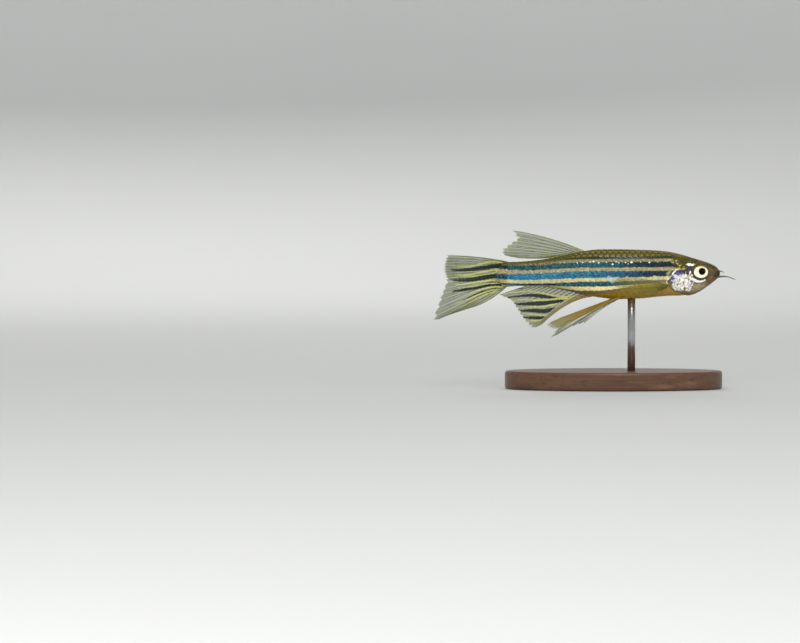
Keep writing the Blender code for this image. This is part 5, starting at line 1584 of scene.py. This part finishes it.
def lathe(name, profile, stretch, centre, segments, paint, shift_z=0.0):
    """A closed turned shape: profile is (inset from the edge, height) rows from bottom to top."""
    a = np.arange(segments) / segments * 2 * math.pi
    rows = []
    for inset, z in profile:
        rows.append(np.stack([(stretch[0] - inset) * np.cos(a), (stretch[1] - inset) * np.sin(a), np.full(segments, z)], -1))
    points = np.concatenate(rows) + np.array([centre[0], centre[1], shift_z])
    faces = [f for f in grid_faces(len(profile), segments, closed=True).tolist()]
    faces.append(list(range(segments))[::-1])
    faces.append([(len(profile) - 1) * segments + k for k in range(segments)])
    mesh = bpy.data.meshes.new(name)
    mesh.from_pydata((points * MM).tolist(), [], faces)
    mesh.update()
    made = bpy.data.objects.new(name, mesh)
    bpy.context.scene.collection.objects.link(made)
    mesh.materials.append(paint)
    for face in mesh.polygons:
        face.use_smooth = len(face.vertices) == 4
    fix_normals(made)
    return made


def make_stand():
    wood = Paint("dark_wood", Roughness=0.38, Coat_Weight=0.25, Coat_Roughness=0.20)
    grain = wood.noise(420, 6.0, stretch=(0.10, 1.0, 1.6))
    pores = wood.noise(2600, 2.0, stretch=(0.05, 1.0, 1.0))
    colour = wood.ramp(grain, ((0.30, srgb(58, 38, 25)), (0.48, srgb(84, 56, 36)), (0.58, srgb(70, 46, 29)),
                               (0.72, srgb(100, 68, 44))))
    colour = wood.mix(wood.step(pores, 0.60, 0.72, 0.0, 0.7), colour, srgb(34, 22, 14))
    wood.set(Base_Color=colour)
    wood.bump(wood.math("MULTIPLY_ADD", pores, -1.0, grain), 0.00003, 0.5)
    steel = Paint("satin_steel", Metallic=1.0, Roughness=0.28)
    brushed = steel.noise(5200, 2.0, stretch=(1.0, 1.0, 0.04))
    steel.set(Base_Color=steel.ramp(brushed, ((0.3, srgb(168, 168, 170)), (0.7, srgb(196, 196, 198)))))
    steel.bump(brushed, 0.000006, 0.5)
    round_ = [(0.5 * (1 - math.sin(t)), 0.5 * (1 - math.cos(t))) for t in np.linspace(0, math.pi / 2, 9)]
    profile = round_ + [(i, BASE_HEIGHT - z) for i, z in round_[::-1]]
    base = lathe("base_of_stand", profile, (BASE_LENGTH / 2, BASE_WIDTH / 2), (0, 0), 180, wood.material)
    top = AXIS_Z + float(along(SNOUT_X - ROD_X, UNDER)) + 0.35
    rod = lathe("rod_of_stand", [(0.0, BASE_HEIGHT - 0.02), (0.0, (BASE_HEIGHT + top) / 2), (0.0, top)],
                (ROD_RADIUS, ROD_RADIUS), (ROD_X, 0), 48, steel.material)
    return base, rod


# ---- the studio -------------------------------------------------------------
def make_stage():
    paint = Paint("studio_floor", Roughness=0.9)
    cloth = paint.mix(paint.attribute("wall"), srgb(166, 167, 166), srgb(214, 215, 214))
    paint.set(Base_Color=paint.mix(paint.step(paint.noise(6.0, 2.0), 0.3, 0.7, 0.0, 0.04), cloth, srgb(150, 150, 150)))
    radii, heights = [0.001], [0.0]
    for r in (0.1, 0.2, 0.3, 0.4, 0.45):
        radii.append(r)
        heights.append(0.0)
    for turn in np.linspace(0.04, 1, 28) * math.pi / 2:
        radii.append(0.45 + 0.9 * math.sin(turn))
        heights.append(0.9 * (1 - math.cos(turn)))
    radii.append(1.35)
    heights.append(1.7)
    segments = 96
    a = np.arange(segments) / segments * 2 * math.pi
    points = np.concatenate([np.stack([r * np.cos(a), r * np.sin(a), np.full(segments, z - 0.00002)], -1)
                             for r, z in zip(radii, heights)])
    faces = grid_faces(len(radii), segments, closed=True).tolist() + [list(range(segments))]
    mesh = bpy.data.meshes.new("studio")
    mesh.from_pydata(points.tolist(), [], faces)
    mesh.update()
    made = bpy.data.objects.new("studio", mesh)
    bpy.context.scene.collection.objects.link(made)
    mesh.materials.append(paint.material)
    wall = mesh.attributes.new("wall", "FLOAT", "POINT")
    wall.data.foreach_set("value", np.repeat(smooth(0.3, 1.25, np.array(radii)), segments).astype(np.float32))
    mesh.polygons.foreach_set("use_smooth", [True] * len(mesh.polygons))


def area_light(name, where, aim, size, power, colour=(1, 1, 1), mirrored=True):
    data = bpy.data.lights.new(name, "AREA")
    data.shape = "DISK"
    data.size = size
    data.energy = power
    data.color = colour
    made = bpy.data.objects.new(name, data)
    bpy.context.scene.collection.objects.link(made)
    made.location = where
    made.rotation_euler = (Vector(aim) - Vector(where)).to_track_quat("-Z", "Y").to_euler()
    made.visible_camera = False
    made.visible_glossy = mirrored
    return made


def make_studio():
    make_stage()
    aim = (-0.010, 0.0, 0.018)
    area_light("key", (-0.12, -0.55, 0.36), aim, 0.34, 2.7, (1.0, 0.985, 0.96), False)
    area_light("gleam", (0.06, -0.34, 0.52), aim, 0.10, 0.55)
    area_light("fill", (0.50, -0.45, 0.22), aim, 0.40, 1.3, (0.94, 0.97, 1.0), False)
    area_light("far_key", (-0.10, 0.55, 0.40), aim, 0.40, 2.4, (1.0, 0.99, 0.97), False)
    area_light("low", (-0.15, -0.50, 0.06), aim, 0.30, 1.0, (1, 1, 1), False)
    area_light("top", (0.0, 0.0, 1.6), (0.0, 0.0, 0.0), 1.6, 10.0, (1, 1, 1), False)
    world = bpy.data.worlds.new("studio_world")
    world.use_nodes = True
    world.node_tree.nodes["Background"].inputs["Color"].default_value = (0.86, 0.87, 0.88, 1)
    world.node_tree.nodes["Background"].inputs["Strength"].default_value = 0.45
    bpy.context.scene.world = world
    view = bpy.context.scene.view_settings
    view.view_transform = "Standard"
    view.look = "None"
    view.exposure = 0.0


def make_camera():
    """The photograph's framing: 6.056 pixels to a millimetre, its middle at x -35.3 mm, z 11.2 mm."""
    distance, raise_ = 0.60, math.radians(2.0)
    middle = Vector(((400.0 - 614.0) / 6.056 * MM, 0.0, (AXIS_Z - (321.5 - 274.0) / 6.056) * MM))
    data = bpy.data.cameras.new("camera")
    data.sensor_width = 36.0
    data.lens = 36.0 * distance / (800 / 6.056 * MM)
    data.clip_start, data.clip_end = 0.01, 10.0
    data.dof.use_dof = False
    camera = bpy.data.objects.new("camera", data)
    bpy.context.scene.collection.objects.link(camera)
    middle.y = -1.2 * MM  # the flank that faces the camera is about here
    camera.location = middle + Vector((0, -distance * math.cos(raise_), distance * math.sin(raise_)))
    camera.rotation_euler = (middle - camera.location).to_track_quat("-Z", "Y").to_euler()
    bpy.context.scene.camera = camera


# ---- everything -------------------------------------------------------------
def main():
    skin = make_skin([skin_paint()])
    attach(skin, "root")
    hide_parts("head", "lower_jaw", "gill_cover_left", "gill_cover_right", "trunk", "tail")
    for piece in make_scales(scale_paint()):
        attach(piece, "root")
    iris, dark, clear = eye_paints()
    for side, word in ((-1, "right"), (1, "left")):
        pieces_ = make_eye(side, iris, dark, clear)
        for piece in pieces_:
            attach(piece, "root")
        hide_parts("eye_" + word)
    for node, piece in make_fins(fin_paints()).items():
        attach(piece, "root")
        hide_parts(node)
    skin_of_feeler = barbel_paint()
    for side, word in ((-1, "right"), (1, "left")):
        for kind, points, radii in (
                ("maxillary", ((1.35, 1.10, -0.72), (0.60, 1.24, -0.56), (-0.5, 1.36, -0.42), (-1.5, 1.58, -0.55),
                               (-2.55, 1.85, -1.0)), (0.13, 0.115, 0.095, 0.070, 0.035)),
                ("rostral", ((0.62, 0.66, 0.56), (-0.06, 0.88, 0.47), (-0.62, 1.04, 0.22)), (0.10, 0.08, 0.035))):
            piece = make_barbel(kind + "_barbel_" + word, [(s, side * y, h) for s, y, h in points], radii,
                                skin_of_feeler)
            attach(piece, "root")
            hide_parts("barbel_" + kind + "_" + word)
    base, rod = make_stand()
    for piece, node, slot in ((base, "stand_base", "stand_wood"), (rod, "stand_rod", "stand_steel")):
        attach(piece, "root")
        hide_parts(node)
    make_studio()
    make_camera()


main()
